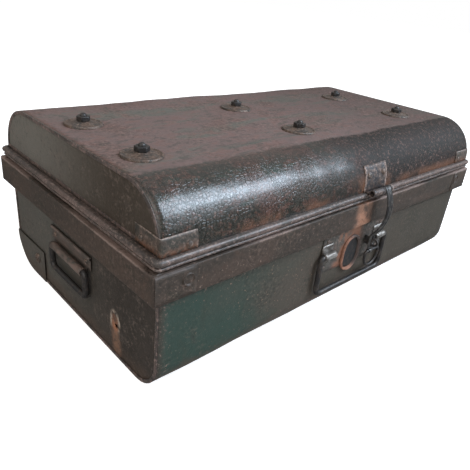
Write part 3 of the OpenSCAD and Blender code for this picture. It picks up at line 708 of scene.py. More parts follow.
# A pale band along the rounded top edge: worn paint and a painted highlight.
top_edge_wear_and_highlight = brown.rise(brown.z + (speck - 0.5) * 0.004, 0.1695, 0.1725)
colour = brown.mix(top_edge_wear_and_highlight * brown.rise(wear, 0.40, 0.58) * 0.7, colour, (0.190, 0.135, 0.115))
hasp_run = brown.rise(abs(brown.x - 0.012 + (wear - 0.5) * 0.03), 0.026, 0.010)
hasp_run = hasp_run * brown.rise(brown.y, -0.19, -0.20)
colour = brown.mix(hasp_run * brown.rise(stain, 0.30, 0.60), colour, (0.215, 0.100, 0.058))
scuffs = brown.rise(stain, 0.40, 0.60) * 0.4 + 0.2
colour = brown.chipped(colour, (0.088, 0.058, 0.044), (0.010, 0.008, 0.006), scuffs)
colour = brown.mix(brown.rise(speck, 0.62, 0.68) * 0.7, colour, (0.190, 0.130, 0.100))
brown.set("Base Color", colour)
brown.set("Specular IOR Level", 0.35)
brown.set("Roughness", 0.48 + speck * 0.2)
brown.bump(stain * 0.7 + speck * 0.4 + grain * 0.2, 0.0008, 0.55)
piece("belt_channel", bm, brown, "trunk", ["belt"], sheet=0.001)


def new_verts(bm, before):
    return [v for v in bm.verts if v not in before]


def new_edges(bm, before):
    """The edges drawn since before, which is the set of vertices there were then."""
    return [e for e in bm.edges if e.verts[0] not in before]


def lathe(bm, points, place, steps=24):
    """Turns the outline points, given as (radius, height), about their own axis."""
    before = set(bm.verts)
    line = [bm.verts.new((r, 0, h)) for r, h in points]
    edges = [bm.edges.new(pair) for pair in zip(line, line[1:])]
    bmesh.ops.spin(bm, geom=line + edges, cent=(0, 0, 0), axis=(0, 0, 1), angle=2 * math.pi,
                   steps=steps, use_merge=True, use_duplicate=False)
    bmesh.ops.remove_doubles(bm, verts=new_verts(bm, before), dist=1e-6)
    made = new_verts(bm, before)
    bmesh.ops.recalc_face_normals(bm, faces=list({f for v in made for f in v.link_faces}))
    bmesh.ops.transform(bm, matrix=place, verts=made)


def aim(place, way):
    """A placement at place whose own Z points along way."""
    return Matrix.Translation(place) @ Vector((0, 0, 1)).rotation_difference(Vector(way)).to_matrix().to_4x4()


plate_leg = (0.055, 0.042)
plate_t = 0.0008
bm = bmesh.new()
for sx in (-1, 1):
    for sy in (-1, 1):
        x, y = sx * (belt_high.x + plate_t), sy * (belt_high.y + plate_t)
        before = set(bm.verts)
        tip = [bm.verts.new((x - sx * plate_leg[0], y, belt_low.z + 0.0006))]
        tip = run(bm, tip, (sx * (plate_leg[0] - 0.002), 0, 0), 6)
        tip = turn(bm, tip, (x - sx * 0.002, y - sy * 0.002, 0), (0, 0, sx * sy), 90, 4)
        run(bm, tip, (0, -sy * (plate_leg[1] - 0.002), 0), 5)
        run(bm, new_edges(bm, before), (0, 0, belt_high.z - belt_low.z - 0.0012), 6)
bmesh.ops.remove_doubles(bm, verts=bm.verts, dist=1e-6)
bm.normal_update()
for f in bm.faces:
    middle = f.calc_center_median()
    if f.normal.dot(Vector((middle.x / 0.35, middle.y / 0.204, 0))) < 0:
        f.normal_flip()
dent(bm, 0.03, 0.0005)
piece("belt_corner_wraps", bm, brown, "trunk", ["belt_corner_plates"], sheet=plate_t)

button = [(0.0, 0.0004), (0.0056, 0.0003), (0.0063, 0.0010), (0.0071, 0.0016), (0.0079, 0.0009),
          (0.0083, -0.0004)]
button_z = (belt_low.z + belt_high.z) / 2 + 0.003
bm = bmesh.new()
for sx in (-1, 1):
    for sy in (-1, 1):
        at = (sx * (belt_high.x - 0.043), sy * (belt_high.y + plate_t), button_z)
        lathe(bm, button, aim(at, (0, sy, 0)), 28)
piece("belt_corner_buttons", bm, brown, "trunk")


# --- Studs --------------------------------------------------------------------------------
# Six coach bolts come up through the lid. Each has a dished steel washer with a rolled rim
# and a hexagon nut; the bolt's rounded end stands above the nut. All are browned with rust.
washer_line = [(0.0052, 0.0058), (0.0085, 0.0052), (0.0125, 0.0036), (0.0185, 0.0019), (0.0212, 0.0019),
               (0.0226, 0.0028), (0.0240, 0.0026), (0.0250, 0.0012), (0.0250, 0.0000), (0.0052, 0.0000)]
washer_line.append(washer_line[0])
bm = bmesh.new()
for stud in studs:
    lathe(bm, washer_line, Matrix.Translation((*stud, top_z)), 40)

rusty = Finish("rusty_steel", metallic=0.25)
crust = rusty.clouds(0.010, 5, 0.7, 0.6)
pit = rusty.clouds(0.0022, 4, 0.75)
colour = rusty.mix(rusty.rise(crust, 0.40, 0.58), (0.044, 0.037, 0.032), (0.088, 0.056, 0.040))
colour = rusty.chipped(colour, (0.200, 0.145, 0.115), (0.016, 0.012, 0.010), 0.7, 0.003)
rusty.set("Base Color", colour)
rusty.set("Roughness", 0.42 + pit * 0.25)
rusty.bump(crust * 0.8 + pit * 0.6, 0.0007, 0.7)
piece("dished_washers", bm, rusty, "lid", ["stud_washers"])

iron = Finish("black_iron", metallic=0.3)
crust = iron.clouds(0.008, 5, 0.7, 0.6)
pit = iron.clouds(0.0018, 4, 0.75)
colour = iron.mix(iron.rise(crust, 0.45, 0.65), (0.018, 0.017, 0.017), (0.046, 0.036, 0.030))
colour = iron.mix(iron.rise(pit, 0.60, 0.74) * 0.8, colour, (0.130, 0.095, 0.072))
iron.set("Base Color", colour)
iron.set("Roughness", 0.36 + crust * 0.22)
iron.bump(crust * 0.6 + pit * 0.6, 0.0006, 0.6)

bm = bmesh.new()
nut_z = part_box("stud_nuts")[0].z
for k, stud in enumerate(studs):
    place = Matrix.Translation((*stud, nut_z + 0.0002)) @ Matrix.Rotation(0.4 * k, 4, "Z")
    nut = bmesh.ops.create_circle(bm, cap_ends=True, radius=0.0092, segments=6, matrix=place)["verts"]
    foot = list({f for v in nut for f in v.link_faces})
    grown = bmesh.ops.extrude_face_region(bm, geom=foot)["geom"]
    bmesh.ops.translate(bm, verts=only_verts(grown), vec=(0, 0, 0.0063))
bmesh.ops.recalc_face_normals(bm, faces=bm.faces)
piece("hexagon_nuts", bm, iron, "lid", ["stud_nuts"], soften=0.0009, sharp=30)

bolt_line = [(0.0, 0.0153), (0.0018, 0.0151), (0.0034, 0.0142), (0.0043, 0.0128), (0.0045, 0.0112),
             (0.0045, -0.0012), (0.0095, -0.0014), (0.0098, -0.0030), (0.0070, -0.0042), (0.0, -0.0042)]
bm = bmesh.new()
for stud in studs:
    lathe(bm, bolt_line, Matrix.Translation((*stud, top_z)))
piece("coach_bolts", bm, iron, "lid", ["stud_bolts"])


# --- Lid corner plates --------------------------------------------------------------------
# Strips of sheet wrapped round the lid's lower front corners and riveted on. They are bare of
# paint in places, and their lower edges have rusted orange. A pale broken line along their top
# edges is a painted highlight.
plate_high, plate_leg_x, plate_leg_y = 0.021, 0.046, 0.046
corner_cut = 0.001
roll_z = top_z - front_r
plate_foot = flange_top + 0.0002
side_x = lid_high.x + 0.0022


def on_roll(bm, x, grow, low, high, steps=4):
    """A line up the lid's front from height low to high, at x, grow outside the sheet."""
    tip = [bm.verts.new((x, lid_low.y - grow, low))]
    tip = run(bm, tip, (0, 0, roll_z - low))
    angle = math.degrees(math.asin((high - roll_z) / (front_r + grow)))
    return turn(bm, tip, (x, fold_y, roll_z), (1, 0, 0), -angle, steps)


bm = bmesh.new()
for side in (-1, 1):
    before = set(bm.verts)
    on_roll(bm, side * (side_x - plate_leg_x), 0.0016, plate_foot, plate_foot + plate_high, 5)
    tip = run(bm, new_edges(bm, before), (side * (plate_leg_x - corner_cut), 0, 0), 8)
    tip = run(bm, only_edges(tip), (side * corner_cut, 0.0008, 0), 1)
    run(bm, only_edges(tip), (0, plate_leg_y - 0.0008, 0), 8)
bmesh.ops.remove_doubles(bm, verts=bm.verts, dist=1e-6)
for v in bm.verts:
    if abs(v.co.x) > side_x - 0.0002:
        v.co.y = min(v.co.y, lid_low.y + plate_leg_y + 0.15 * (v.co.z - plate_foot))
bm.normal_update()
for f in bm.faces:
    if f.normal.dot(f.calc_center_median()) < 0:
        f.normal_flip()
dent(bm, 0.02, 0.0005, shift=(1, 1, 1))

worn_plate = Finish("corner_plate_rust", metallic=0.15)
crust = worn_plate.clouds(0.012, 5, 0.7, 0.6)
pit = worn_plate.clouds(0.0025, 4, 0.75)
foot = worn_plate.rise(worn_plate.z + (crust - 0.5) * 0.02, plate_foot + 0.013, plate_foot)
# A pale broken line along the plates' top edges: a painted highlight.
top_edge_highlight = worn_plate.rise(worn_plate.z, plate_foot + 0.0192, plate_foot + 0.0205)
colour = worn_plate.mix(worn_plate.rise(crust, 0.42, 0.60), (0.030, 0.027, 0.021), (0.054, 0.038, 0.029))
colour = worn_plate.mix(foot * worn_plate.rise(crust, 0.40, 0.58), colour, (0.140, 0.062, 0.033))
colour = worn_plate.mix(top_edge_highlight * worn_plate.rise(pit, 0.40, 0.55), colour, (0.210, 0.160, 0.135))
colour = worn_plate.chipped(colour, (0.150, 0.105, 0.084), (0.014, 0.011, 0.009), 0.6, 0.004)
worn_plate.set("Base Color", colour)
worn_plate.set("Roughness", 0.44 + pit * 0.25)
worn_plate.bump(crust * 0.8 + pit * 0.5, 0.0007, 0.7)
piece("lid_corner_wraps", bm, worn_plate, "lid", ["lid_corner_plates"], sheet=0.001)


def rivet_line(r, high):
    """A domed rivet head's outline, its edge sunk a little into the sheet."""
    return [(0.0, high), (r * 0.45, high * 0.93), (r * 0.78, high * 0.68), (r * 0.96, high * 0.3),
            (r, -0.0006)]


bm = bmesh.new()
for side in (-1, 1):
    front_rivet = (side * 0.304, lid_low.y - 0.0014, plate_foot + 0.0068)
    end_rivet = (side * side_x, lid_low.y + 0.034, plate_foot + 0.008)
    lathe(bm, rivet_line(0.004, 0.002), aim(front_rivet, (0, -1, 0)))
    lathe(bm, rivet_line(0.004, 0.002), aim(end_rivet, (side, 0, 0)))
piece("lid_corner_rivets", bm, rusty, "lid", ["corner_rivets"])


# --- Handle plate -------------------------------------------------------------------------
# A sheet plate riveted to the body's front under the belt. It carries the bail's clips and the
# lock. Its paint has gone grey-brown, with dark pits and rust round the keyhole rim.
backplate_low, backplate_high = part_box("handle_plate")
bm = bmesh.new()
mid = (backplate_low + backplate_high) / 2
turned = Matrix.Translation((mid.x, backplate_low.y, mid.z)) @ Matrix.Rotation(math.pi / 2, 4, "X")
wide = Matrix.Diagonal((backplate_high.x - backplate_low.x, backplate_high.z - backplate_low.z, 1, 1))
bmesh.ops.create_grid(bm, x_segments=30, y_segments=12, size=0.5, matrix=turned @ wide)
corners = [v for v in bm.verts if len(v.link_edges) == 2 and v.co.z < mid.z]
bmesh.ops.bevel(bm, geom=corners, affect="VERTICES", offset=0.003, segments=3, profile=0.5, material=-1)
set_side(bm, lambda f: -f.normal.y)
dent(bm, 0.03, 0.0006)

plate = Finish("handle_plate_paint", metallic=0.1)
stain = plate.clouds(0.02, 5, 0.65, 0.6)
speck = plate.clouds(0.003, 4, 0.75)
pocks = plate.clouds(0.006, 2, 0.5, shift=(3, 0, 1))
colour = plate.mix(plate.rise(stain, 0.42, 0.62), (0.044, 0.040, 0.033), (0.062, 0.044, 0.035))
colour = plate.chipped(colour, (0.150, 0.115, 0.095), (0.012, 0.011, 0.010), 0.6, 0.004)
colour = plate.mix(plate.rise(pocks, 0.32, 0.27) * 0.9, colour, (0.018, 0.016, 0.014))
keyhole = plate.rise(abs(plate.x - 0.006 + (stain - 0.5) * 0.03), 0.036, 0.020)
colour = plate.mix(keyhole * plate.rise(stain, 0.36, 0.60), colour, (0.150, 0.066, 0.038))
colour = plate.mix(plate.rise(speck, 0.64, 0.74) * 0.6, colour, (0.220, 0.175, 0.145))
plate.set("Base Color", colour)
plate.set("Roughness", 0.44 + speck * 0.25)
plate.bump(stain * 0.6 + speck * 0.5, 0.0007, 0.6)
piece("handle_backplate", bm, plate, "trunk", ["handle_plate"], sheet=0.0012)

bm = bmesh.new()
for x in (backplate_low.x + 0.010, backplate_high.x - 0.010):
    for z in (backplate_low.z + 0.010, backplate_high.z - 0.012):
        lathe(bm, rivet_line(0.003, 0.0016), aim((x, backplate_low.y, z), (0, -1, 0)), 20)
piece("handle_backplate_rivets", bm, rusty, "trunk", ["handle_plate_rivets"])


# --- Bail clips ---------------------------------------------------------------------------
# Two strips of steel rolled round the bail's ends, their tails flat on the plate. The bail has
# rubbed them bright.
clip_low, clip_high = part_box("handle_clips")
bail_r = 0.004
bail_y, bail_z = clip_low.y + 0.00528, (clip_low.z + clip_high.z) / 2
clip_w = 0.025
curl_r = 0.0053


def curl(bm, x, wide, tail):
    """A strip rolled round the bail, with a tail above and below on the plate."""
    face = clip_high.y - 0.0012
    lift = bail_y - face
    gap = math.degrees(math.acos(-lift / curl_r))
    rise = curl_r * math.sin(math.radians(gap))
    before = set(bm.verts)
    tip = [bm.verts.new((x, face, bail_z - tail))]
    tip = run(bm, tip, (0, 0, tail - rise), 3)
    tip = turn(bm, tip, (x, bail_y, bail_z), (1, 0, 0), 2 * gap - 360, 18)
    run(bm, tip, (0, 0, tail - rise), 3)
    run(bm, new_edges(bm, before), (wide, 0, 0), 8)


bm = bmesh.new()
for x in (clip_low.x, clip_high.x - clip_w):
    curl(bm, x, clip_w, 0.016)
set_side(bm, lambda f: -f.normal.y if f.calc_center_median().y < bail_y - 0.003 else 0)
dent(bm, 0.008, 0.0004)

bright = Finish("worn_steel", metallic=0.75)
smear = bright.clouds(0.008, 5, 0.65, 0.8, stretch=(0.3, 1, 1))
pit = bright.clouds(0.002, 4, 0.75)
colour = bright.mix(bright.rise(smear, 0.42, 0.60), (0.115, 0.100, 0.088), (0.330, 0.315, 0.295))
colour = bright.mix(bright.rise(pit, 0.60, 0.72) * 0.8, colour, (0.085, 0.058, 0.044))
bright.set("Base Color", colour)
bright.set("Roughness", 0.34 + pit * 0.25)
bright.bump(smear * 0.5 + pit * 0.5, 0.0005, 0.6)
piece("bail_clips", bm, bright, "trunk", ["handle_clips"], sheet=0.0011)


# --- Lock rim and staple ------------------------------------------------------------------
# A raised oval rim round the keyhole's recess, its left half rusted orange and its right half
# darkened with painted shadow, and an upright lug beside it with an eye for a padlock. The recess
# behind the rim is a sheet painted near-black as shade, and pitted.
cup_low, cup_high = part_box("lock_cup")
cup_x, cup_z = (cup_low.x + cup_high.x) / 2, (cup_low.z + cup_high.z) / 2
cup_half = 0.008
bm = bmesh.new()
rim = [(0.0214, -0.0004), (0.0220, 0.0022), (0.0208, 0.0042), (0.0194, 0.0045), (0.0182, 0.0034),
       (0.0176, 0.0012), (0.0172, -0.0004)]
line = [bm.verts.new((cup_x - r, cup_high.y - h, cup_z - cup_half)) for r, h in rim]
tip = [bm.edges.new(pair) for pair in zip(line, line[1:])]
for up in (1, -1):
    tip = only_edges(run(bm, tip, (0, 0, up * 2 * cup_half), 6))
    tip = only_edges(turn(bm, tip, (cup_x, 0, cup_z + up * cup_half), (0, 1, 0), 180, 16))
bmesh.ops.remove_doubles(bm, verts=bm.verts, dist=1e-5)
set_side(bm, lambda f: -f.normal.y)
dent(bm, 0.012, 0.0006)

orange = Finish("orange_rust")
crust = orange.clouds(0.010, 5, 0.7, 0.5)
pit = orange.clouds(0.002, 4, 0.75)
across = orange.x + orange.z * 0.3 - cup_z * 0.3 + (crust - 0.5) * 0.02
# The rim's right half, in the hasp's shadow, is darkened: painted shadow.
painted_rim_shadow = orange.rise(across, cup_x - 0.004, cup_x + 0.010)
colour = orange.mix(orange.rise(crust, 0.38, 0.62), (0.120, 0.050, 0.028), (0.200, 0.086, 0.048))
colour = orange.mix(painted_rim_shadow * 0.9, colour, (0.034, 0.026, 0.023))
colour = orange.mix(orange.rise(pit, 0.58, 0.72) * 0.7, colour, (0.090, 0.046, 0.030))
orange.set("Base Color", colour)
orange.set("Roughness", 0.62 + pit * 0.2)
orange.bump(crust + pit * 0.7, 0.0008, 0.7)
piece("lock_rim", bm, orange, "trunk", ["lock_cup"])

bm = bmesh.new()
tip = [bm.verts.new((cup_x - 0.018, cup_high.y - 0.0006, cup_z - cup_half))]
for up in (1, -1):
    tip = run(bm, tip, (0, 0, up * 2 * cup_half), 4)
    tip = turn(bm, tip, (cup_x, 0, cup_z + up * cup_half), (0, 1, 0), 180, 14)
    tip = only_verts(tip)
bmesh.ops.remove_doubles(bm, verts=bm.verts, dist=1e-5)
bmesh.ops.contextual_create(bm, geom=bm.edges[:])
set_side(bm, lambda f: -f.normal.y)
grid_cuts(bm, 0, cup_x - 0.018, cup_x + 0.018, 8)
grid_cuts(bm, 2, cup_z - 0.026, cup_z + 0.026, 10)

# A near-black sheet inside the rim: painted shade in the recess, with a pitted crust.
shade_paint = Finish("painted_recess_shade", 0.7)
crust = shade_paint.clouds(0.006, 4, 0.7)
shade_paint.set("Base Color", shade_paint.mix(shade_paint.rise(crust, 0.45, 0.70), (0.006, 0.006, 0.006), (0.030, 0.020, 0.016)))
shade_paint.bump(crust, 0.0006, 0.7)
piece("lock_recess", bm, shade_paint, "trunk", sheet=0.0005)

bm = bmesh.new()
st_low, st_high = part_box("padlock_staple")
eye = Vector((st_low.x, st_low.y + 0.007, (st_low.z + st_high.z) / 2))
tip = [bm.verts.new((eye.x, st_high.y, st_low.z))]
tip = run(bm, tip, (0, eye.y - st_high.y, 0), 1)
tip = turn(bm, tip, eye, (1, 0, 0), -180, 14)
run(bm, tip, (0, st_high.y - eye.y, 0), 1)
close_bottom(bm)
place = Matrix.Translation(eye) @ Matrix.Rotation(math.pi / 2, 4, "Y")
bmesh.ops.create_circle(bm, radius=0.0035, segments=20, matrix=place)
bmesh.ops.triangle_fill(bm, use_beauty=True, use_dissolve=False, edges=bm.edges[:])
face_out(bm, 1)
out = bmesh.ops.extrude_face_region(bm, geom=bm.faces[:])["geom"]
bmesh.ops.translate(bm, verts=only_verts(out), vec=(st_high.x - st_low.x, 0, 0))
bmesh.ops.recalc_face_normals(bm, faces=bm.faces)
piece("padlock_lug", bm, iron, "trunk", ["padlock_staple"], soften=0.0006, sharp=50)


# --- Bails --------------------------------------------------------------------------------
# Round iron rod bent to a loop, its ends turned inwards into the clips. One hangs on the front
# and one on each end. Blackened, with a dull shine where hands have held them.
def wire(bm, start, way, r, moves, sides=14):
    """Draws rod from start. A number goes straight on; (radius, towards, degrees) bends it."""
    way, at = Vector(way), Vector(start)
    before = set(bm.verts)
    bmesh.ops.create_circle(bm, radius=r, segments=sides, matrix=aim(start, way))
    tip = first = new_edges(bm, before)
    for move in moves:
        if isinstance(move, tuple):
            bend, towards, degrees = move
            centre = at + Vector(towards) * bend
            axis = way.cross(Vector(towards))
            steps = max(3, round(degrees / 11))
            tip = only_edges(turn(bm, tip, centre, axis, degrees, steps))
            swing = Matrix.Rotation(math.radians(degrees), 3, axis)
            at = centre + swing @ (at - centre)
            way = swing @ way
        else:
            tip = only_edges(run(bm, tip, way * move, max(1, round(move / 0.008))))
            at = at + way * move
    if (at - Vector(start)).length > 1e-4:
        for loop in (first, tip):
            cap = bmesh.ops.contextual_create(bm, geom=loop)["faces"]
            bmesh.ops.poke(bm, faces=cap)
    bmesh.ops.remove_doubles(bm, verts=new_verts(bm, before), dist=1e-6)
    made = new_verts(bm, before)
    bmesh.ops.recalc_face_normals(bm, faces=list({f for v in made for f in v.link_faces}))


def bail(pivot, along, width, drop, r, bend, stub):
    """A loop that hangs from pivot, whose ends lie along a direction."""
    bm = bmesh.new()
    along, down = Vector(along), Vector((0, 0, -1))
    top = 1.2 * r
    start = Vector(pivot) - along * (width / 2 - top - stub)
    leg = drop - bend - top
    moves = [stub, (top, down, 90), leg, (bend, along, 90), width - 2 * bend,
             (bend, -down, 90), leg, (top, -along, 90), stub]
    wire(bm, start, -along, r, moves)
    dent(bm, 0.025, 0.0004, lambda co: step(0.012, 0.03, pivot[2] - co.z))
    return bm


front_bail = bail((0.015, bail_y, bail_z), (1, 0, 0), width=0.1635, drop=0.060, r=bail_r,
                  bend=0.011, stub=clip_w)
piece("front_bail_rod", front_bail, iron, "front_bail", ["front_handle"])

grip_y, grip_z, grip_r, grip_w = 0.0055, 0.0915, 0.0043, 0.098
grip_x = body_end_x + 0.0024 + grip_r + 0.00008
for side, name in ((-1, "left"), (1, "right")):
    rod = bail((side * grip_x, grip_y, grip_z), (0, 1, 0), width=grip_w, drop=0.036, r=grip_r,
               bend=0.009, stub=grip_w / 2 - 0.012)
    piece(f"{name}_grip_rod", rod, iron, f"{name}_bail", [f"{name}_grip"])


# --- Grip straps --------------------------------------------------------------------------
# A strap of sheet across each end, hemmed along the top and rolled round the bail along the
# bottom. Four rivets hold them. The paint has worn through on the hem.
strap_paint = Finish("grip_strap_paint", metallic=0.05)
crust = strap_paint.clouds(0.012, 5, 0.7, 0.6, stretch=(1, 0.4, 1))
pit = strap_paint.clouds(0.0025, 4, 0.75)
rubbed = strap_paint.rise(abs(strap_paint.x), body_end_x + 0.0030, body_end_x + 0.0044)
colour = strap_paint.mix(strap_paint.rise(crust, 0.40, 0.60), (0.034, 0.029, 0.023), (0.060, 0.042, 0.033))
colour = strap_paint.mix(rubbed * strap_paint.rise(crust, 0.38, 0.62) * 0.8, colour, (0.120, 0.080, 0.064))
colour = strap_paint.mix(strap_paint.rise(pit, 0.62, 0.74) * 0.6, colour, (0.170, 0.110, 0.080))
strap_paint.set("Base Color", colour)
strap_paint.set("Roughness", 0.46 + pit * 0.2)
strap_paint.bump(crust * 0.8 + pit * 0.5, 0.0007, 0.6)
strap_half, strap_top, hem = 0.0555, 0.117, 0.002
tube_half = (grip_w - 2 * grip_r - 0.002) / 2
tube_r = grip_r + 0.0014
for side, name in ((-1, "left"), (1, "right")):
    bm = bmesh.new()
    tip = [bm.verts.new((side * (body_end_x + 0.0002), grip_y - strap_half, strap_top - hem))]
    tip = turn(bm, tip, (side * (body_end_x + 0.0002 + hem), 0, strap_top - hem), (0, 1, 0), side * 180, 8)
    tip = run(bm, tip, (0, 0, -0.0022), 1)
    tip = run(bm, tip, (-side * 0.0016, 0, -0.0012), 1)
    run(bm, tip, (0, 0, -0.0142), 4)
    run(bm, bm.edges[:], (0, 2 * strap_half, 0), 22)
    set_side(bm, lambda f: f.normal.x * side if f.calc_center_median().z < 0.108 else 0)
    dent(bm, 0.025, 0.0005, shift=(side, 0, 0))
    piece(f"{name}_grip_plate", bm, strap_paint, "trunk", [f"{name}_grip_strap"], sheet=0.0012)
    bm = bmesh.new()
    tip = [bm.verts.new((side * (grip_x - tube_r), grip_y - tube_half, grip_z + 0.010))]
    tip = run(bm, tip, (0, 0, -0.010), 2)
    turn(bm, tip, (side * grip_x, 0, grip_z), (0, 1, 0), -side * 310, 22)
    run(bm, bm.edges[:], (0, 2 * tube_half, 0), 16)
    set_side(bm, lambda f: f.normal.x * side if f.calc_center_median().x * side > grip_x + 0.003 else 0)
    dent(bm, 0.015, 0.0004, shift=(side, 0, 0))
    piece(f"{name}_grip_tube", bm, strap_paint, "trunk", sheet=0.0012)

bm = bmesh.new()
for side in (-1, 1):
    for y in (grip_y - 0.044, grip_y + 0.044):
        lathe(bm, rivet_line(0.004, 0.0018), aim((side * (body_end_x + 0.0024), y, 0.106), (side, 0, 0)))
piece("grip_rivets", bm, rusty, "trunk", ["grip_strap_rivets"])


# --- Corner patches -----------------------------------------------------------------------
# A piece of sheet over each lower back corner of the ends, painted along with them. One
# round-headed slotted bolt holds each piece.
patch_y, patch_z = 0.100, 0.052
patch_bolt_y, patch_bolt_z = 0.121, 0.033
for side, name in ((-1, "left"), (1, "right")):
    bm = bmesh.new()
    x = side * (body_end_x + 0.0024)
    tip = [bm.verts.new((x, patch_y, 0.0004))]
    tip = run(bm, tip, (0, body_high.y - body_back_r - patch_y, 0), 3)
    tip = turn(bm, tip, (x, body_high.y - body_back_r, body_back_r), (1, 0, 0), 90, 12)
    run(bm, tip, (0, patch_y - body_high.y, 0), 6)
    bmesh.ops.remove_doubles(bm, verts=bm.verts, dist=1e-6)
    close_bottom(bm)
    fill_outline(bm)
    grid_cuts(bm, 1, patch_y, body_high.y, 8)
    grid_cuts(bm, 2, 0, patch_z, 5)
    face_out(bm, side)
    dent(bm, 0.03, 0.0006)
    piece(f"{name}_corner_patch", bm, bolt_end, "trunk",
          ["corner_patches"] if side < 0 else [], sheet=0.0012)

bm = bmesh.new()
head = [(0.0, 0.0042), (0.0035, 0.0040), (0.0062, 0.0030), (0.0077, 0.0014), (0.0080, -0.0008)]
lathe(bm, head, Matrix.Identity(4), 28)
slot_edge = 0.0008
for x in (-slot_edge, slot_edge):
    cut(bm, (x, 0, 0), (1, 0, 0))
slot_faces = [f for f in bm.faces if abs(f.calc_center_median().x) < slot_edge]
sunk = bmesh.ops.extrude_face_region(bm, geom=slot_faces)["geom"]
bmesh.ops.translate(bm, verts=only_verts(sunk), vec=(0, 0, -0.0014))
bmesh.ops.delete(bm, geom=[f for f in slot_faces if f.is_valid], context="FACES_ONLY")
one = bpy.data.meshes.new("slotted_bolt")
bm.to_mesh(one)
bm.free()
bm = bmesh.new()
for side in (-1, 1):
    before = set(bm.verts)
    bm.from_mesh(one)
    tilt = Matrix.Rotation(math.radians(35), 4, "Z")
    place = aim((side * (body_end_x + 0.0022), patch_bolt_y, patch_bolt_z), (side, 0, 0)) @ tilt
    bmesh.ops.transform(bm, matrix=place, verts=new_verts(bm, before))
bpy.data.meshes.remove(one)
piece("slotted_patch_bolts", bm, rusty, "trunk", ["patch_bolts"])


# --- Hinges -------------------------------------------------------------------------------
# Two butt hinges on the back. Each leaf is bent from strip and rolled round a steel pin, and
# riveted through belt and lid. Painted over, with the knuckles worn.
hinge_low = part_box("hinge_body_leaves")[0]
pin_low, pin_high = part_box("hinge_pins")
axis_y, axis_z = (pin_low.y + pin_high.y) / 2, (pin_low.z + pin_high.z) / 2
hinge_w, knuckle_r = 0.046, 0.0036
knuckle_w = hinge_w / 3 - 0.0004
hinge_xs = (pin_low.x + hinge_w / 2, pin_high.x - hinge_w / 2)


def strip(bm, x, wide, start, moves):
    """A strip of some width along X. A pair (y, z) draws it on straight, and three numbers,
    the centre's y and z and the degrees, bend it."""
    before = set(bm.verts)
    tip = [bm.verts.new((x, *start))]
    for move in moves:
        if len(move) == 2:
            tip = run(bm, tip, (0, *move), 2)
        else:
            steps = max(4, round(abs(move[2]) / 15))
            tip = turn(bm, tip, (x, move[0], move[1]), (1, 0, 0), move[2], steps)
    run(bm, new_edges(bm, before), (wide, 0, 0), max(2, round(wide / 0.005)))


foot_z = hinge_low.z
tab_z = foot_z + 0.0225
face_y = axis_y - knuckle_r
bm = bmesh.new()
for x in hinge_xs:
    strip(bm, x - hinge_w / 2 + 0.0002, hinge_w - 0.0004, (face_y, foot_z), [(0, tab_z - foot_z)])
    for side in (-1, 1):
        left_x = x + side * hinge_w / 3 - knuckle_w / 2
        strip(bm, left_x, knuckle_w, (face_y, tab_z), [(0, axis_z - tab_z), (axis_y, axis_z, -300)])
bmesh.ops.remove_doubles(bm, verts=bm.verts, dist=1e-6)
set_side(bm, lambda f: f.normal.y if f.calc_center_median().z < axis_z - 0.006 else 0)
piece("hinge_lower_leaves", bm, brown, "trunk", ["hinge_body_leaves"], sheet=0.0012)

bm = bmesh.new()
back_y, back_z = lid_high.y - back_r, top_z - back_r
leaf_r = back_r + 0.0013
leaf_foot = flange_top + 0.0016
leaf_top = leaf_foot + 0.024
low_turn = math.degrees(math.asin((leaf_foot - back_z) / leaf_r))
high_turn = math.degrees(math.asin((leaf_top - back_z) / leaf_r))
leaf_y = back_y + leaf_r * math.cos(math.radians(high_turn))
for x in hinge_xs:
    strip(bm, x - hinge_w / 2, hinge_w, (leaf_y, leaf_top), [(back_y, back_z, low_turn - high_turn)])
    root_y = back_y + leaf_r * math.cos(math.radians(low_turn))
    out = face_y - 0.0008 - root_y
    strip(bm, x - knuckle_w / 2, knuckle_w, (root_y, leaf_foot),
          [(out, 0), (0.0008, -0.0012), (0, axis_z - leaf_foot + 0.0012), (axis_y, axis_z, 300)])
bmesh.ops.remove_doubles(bm, verts=bm.verts, dist=1e-6)
set_side(bm, lambda f: f.normal.y if f.calc_center_median().z > axis_z + 0.006 else 0)
piece("hinge_upper_leaves", bm, brown, "lid", ["hinge_lid_leaves"], sheet=0.0012)

bm = bmesh.new()
for x in hinge_xs:
    half = hinge_w / 2
    pin = [(0.0, half + 0.0012), (0.0017, half + 0.0008), (0.002, half), (0.002, -half),
           (0.0017, -half - 0.0008), (0.0, -half - 0.0012)]
    lathe(bm, pin, aim((x, axis_y, axis_z), (1, 0, 0)), 16)
piece("hinge_pin_rods", bm, bright, "trunk", ["hinge_pins"])
bm = bmesh.new()
for x in hinge_xs:
    for dx in (-0.014, 0.014):
        lathe(bm, rivet_line(0.0026, 0.0014), aim((x + dx, face_y, foot_z + 0.008), (0, 1, 0)), 20)
piece("hinge_lower_rivets", bm, bright, "trunk", ["hinge_rivets"])
bm = bmesh.new()
tilt = math.radians(13)
for x in hinge_xs:
    for dx in (-0.014, 0.014):
        at = (x + dx, back_y + leaf_r * math.cos(tilt), back_z + leaf_r * math.sin(tilt))
        lathe(bm, rivet_line(0.0026, 0.0014), aim(at, (0, math.cos(tilt), math.sin(tilt))), 20)
piece("hinge_upper_rivets", bm, bright, "lid", ["lid_hinge_rivets"])


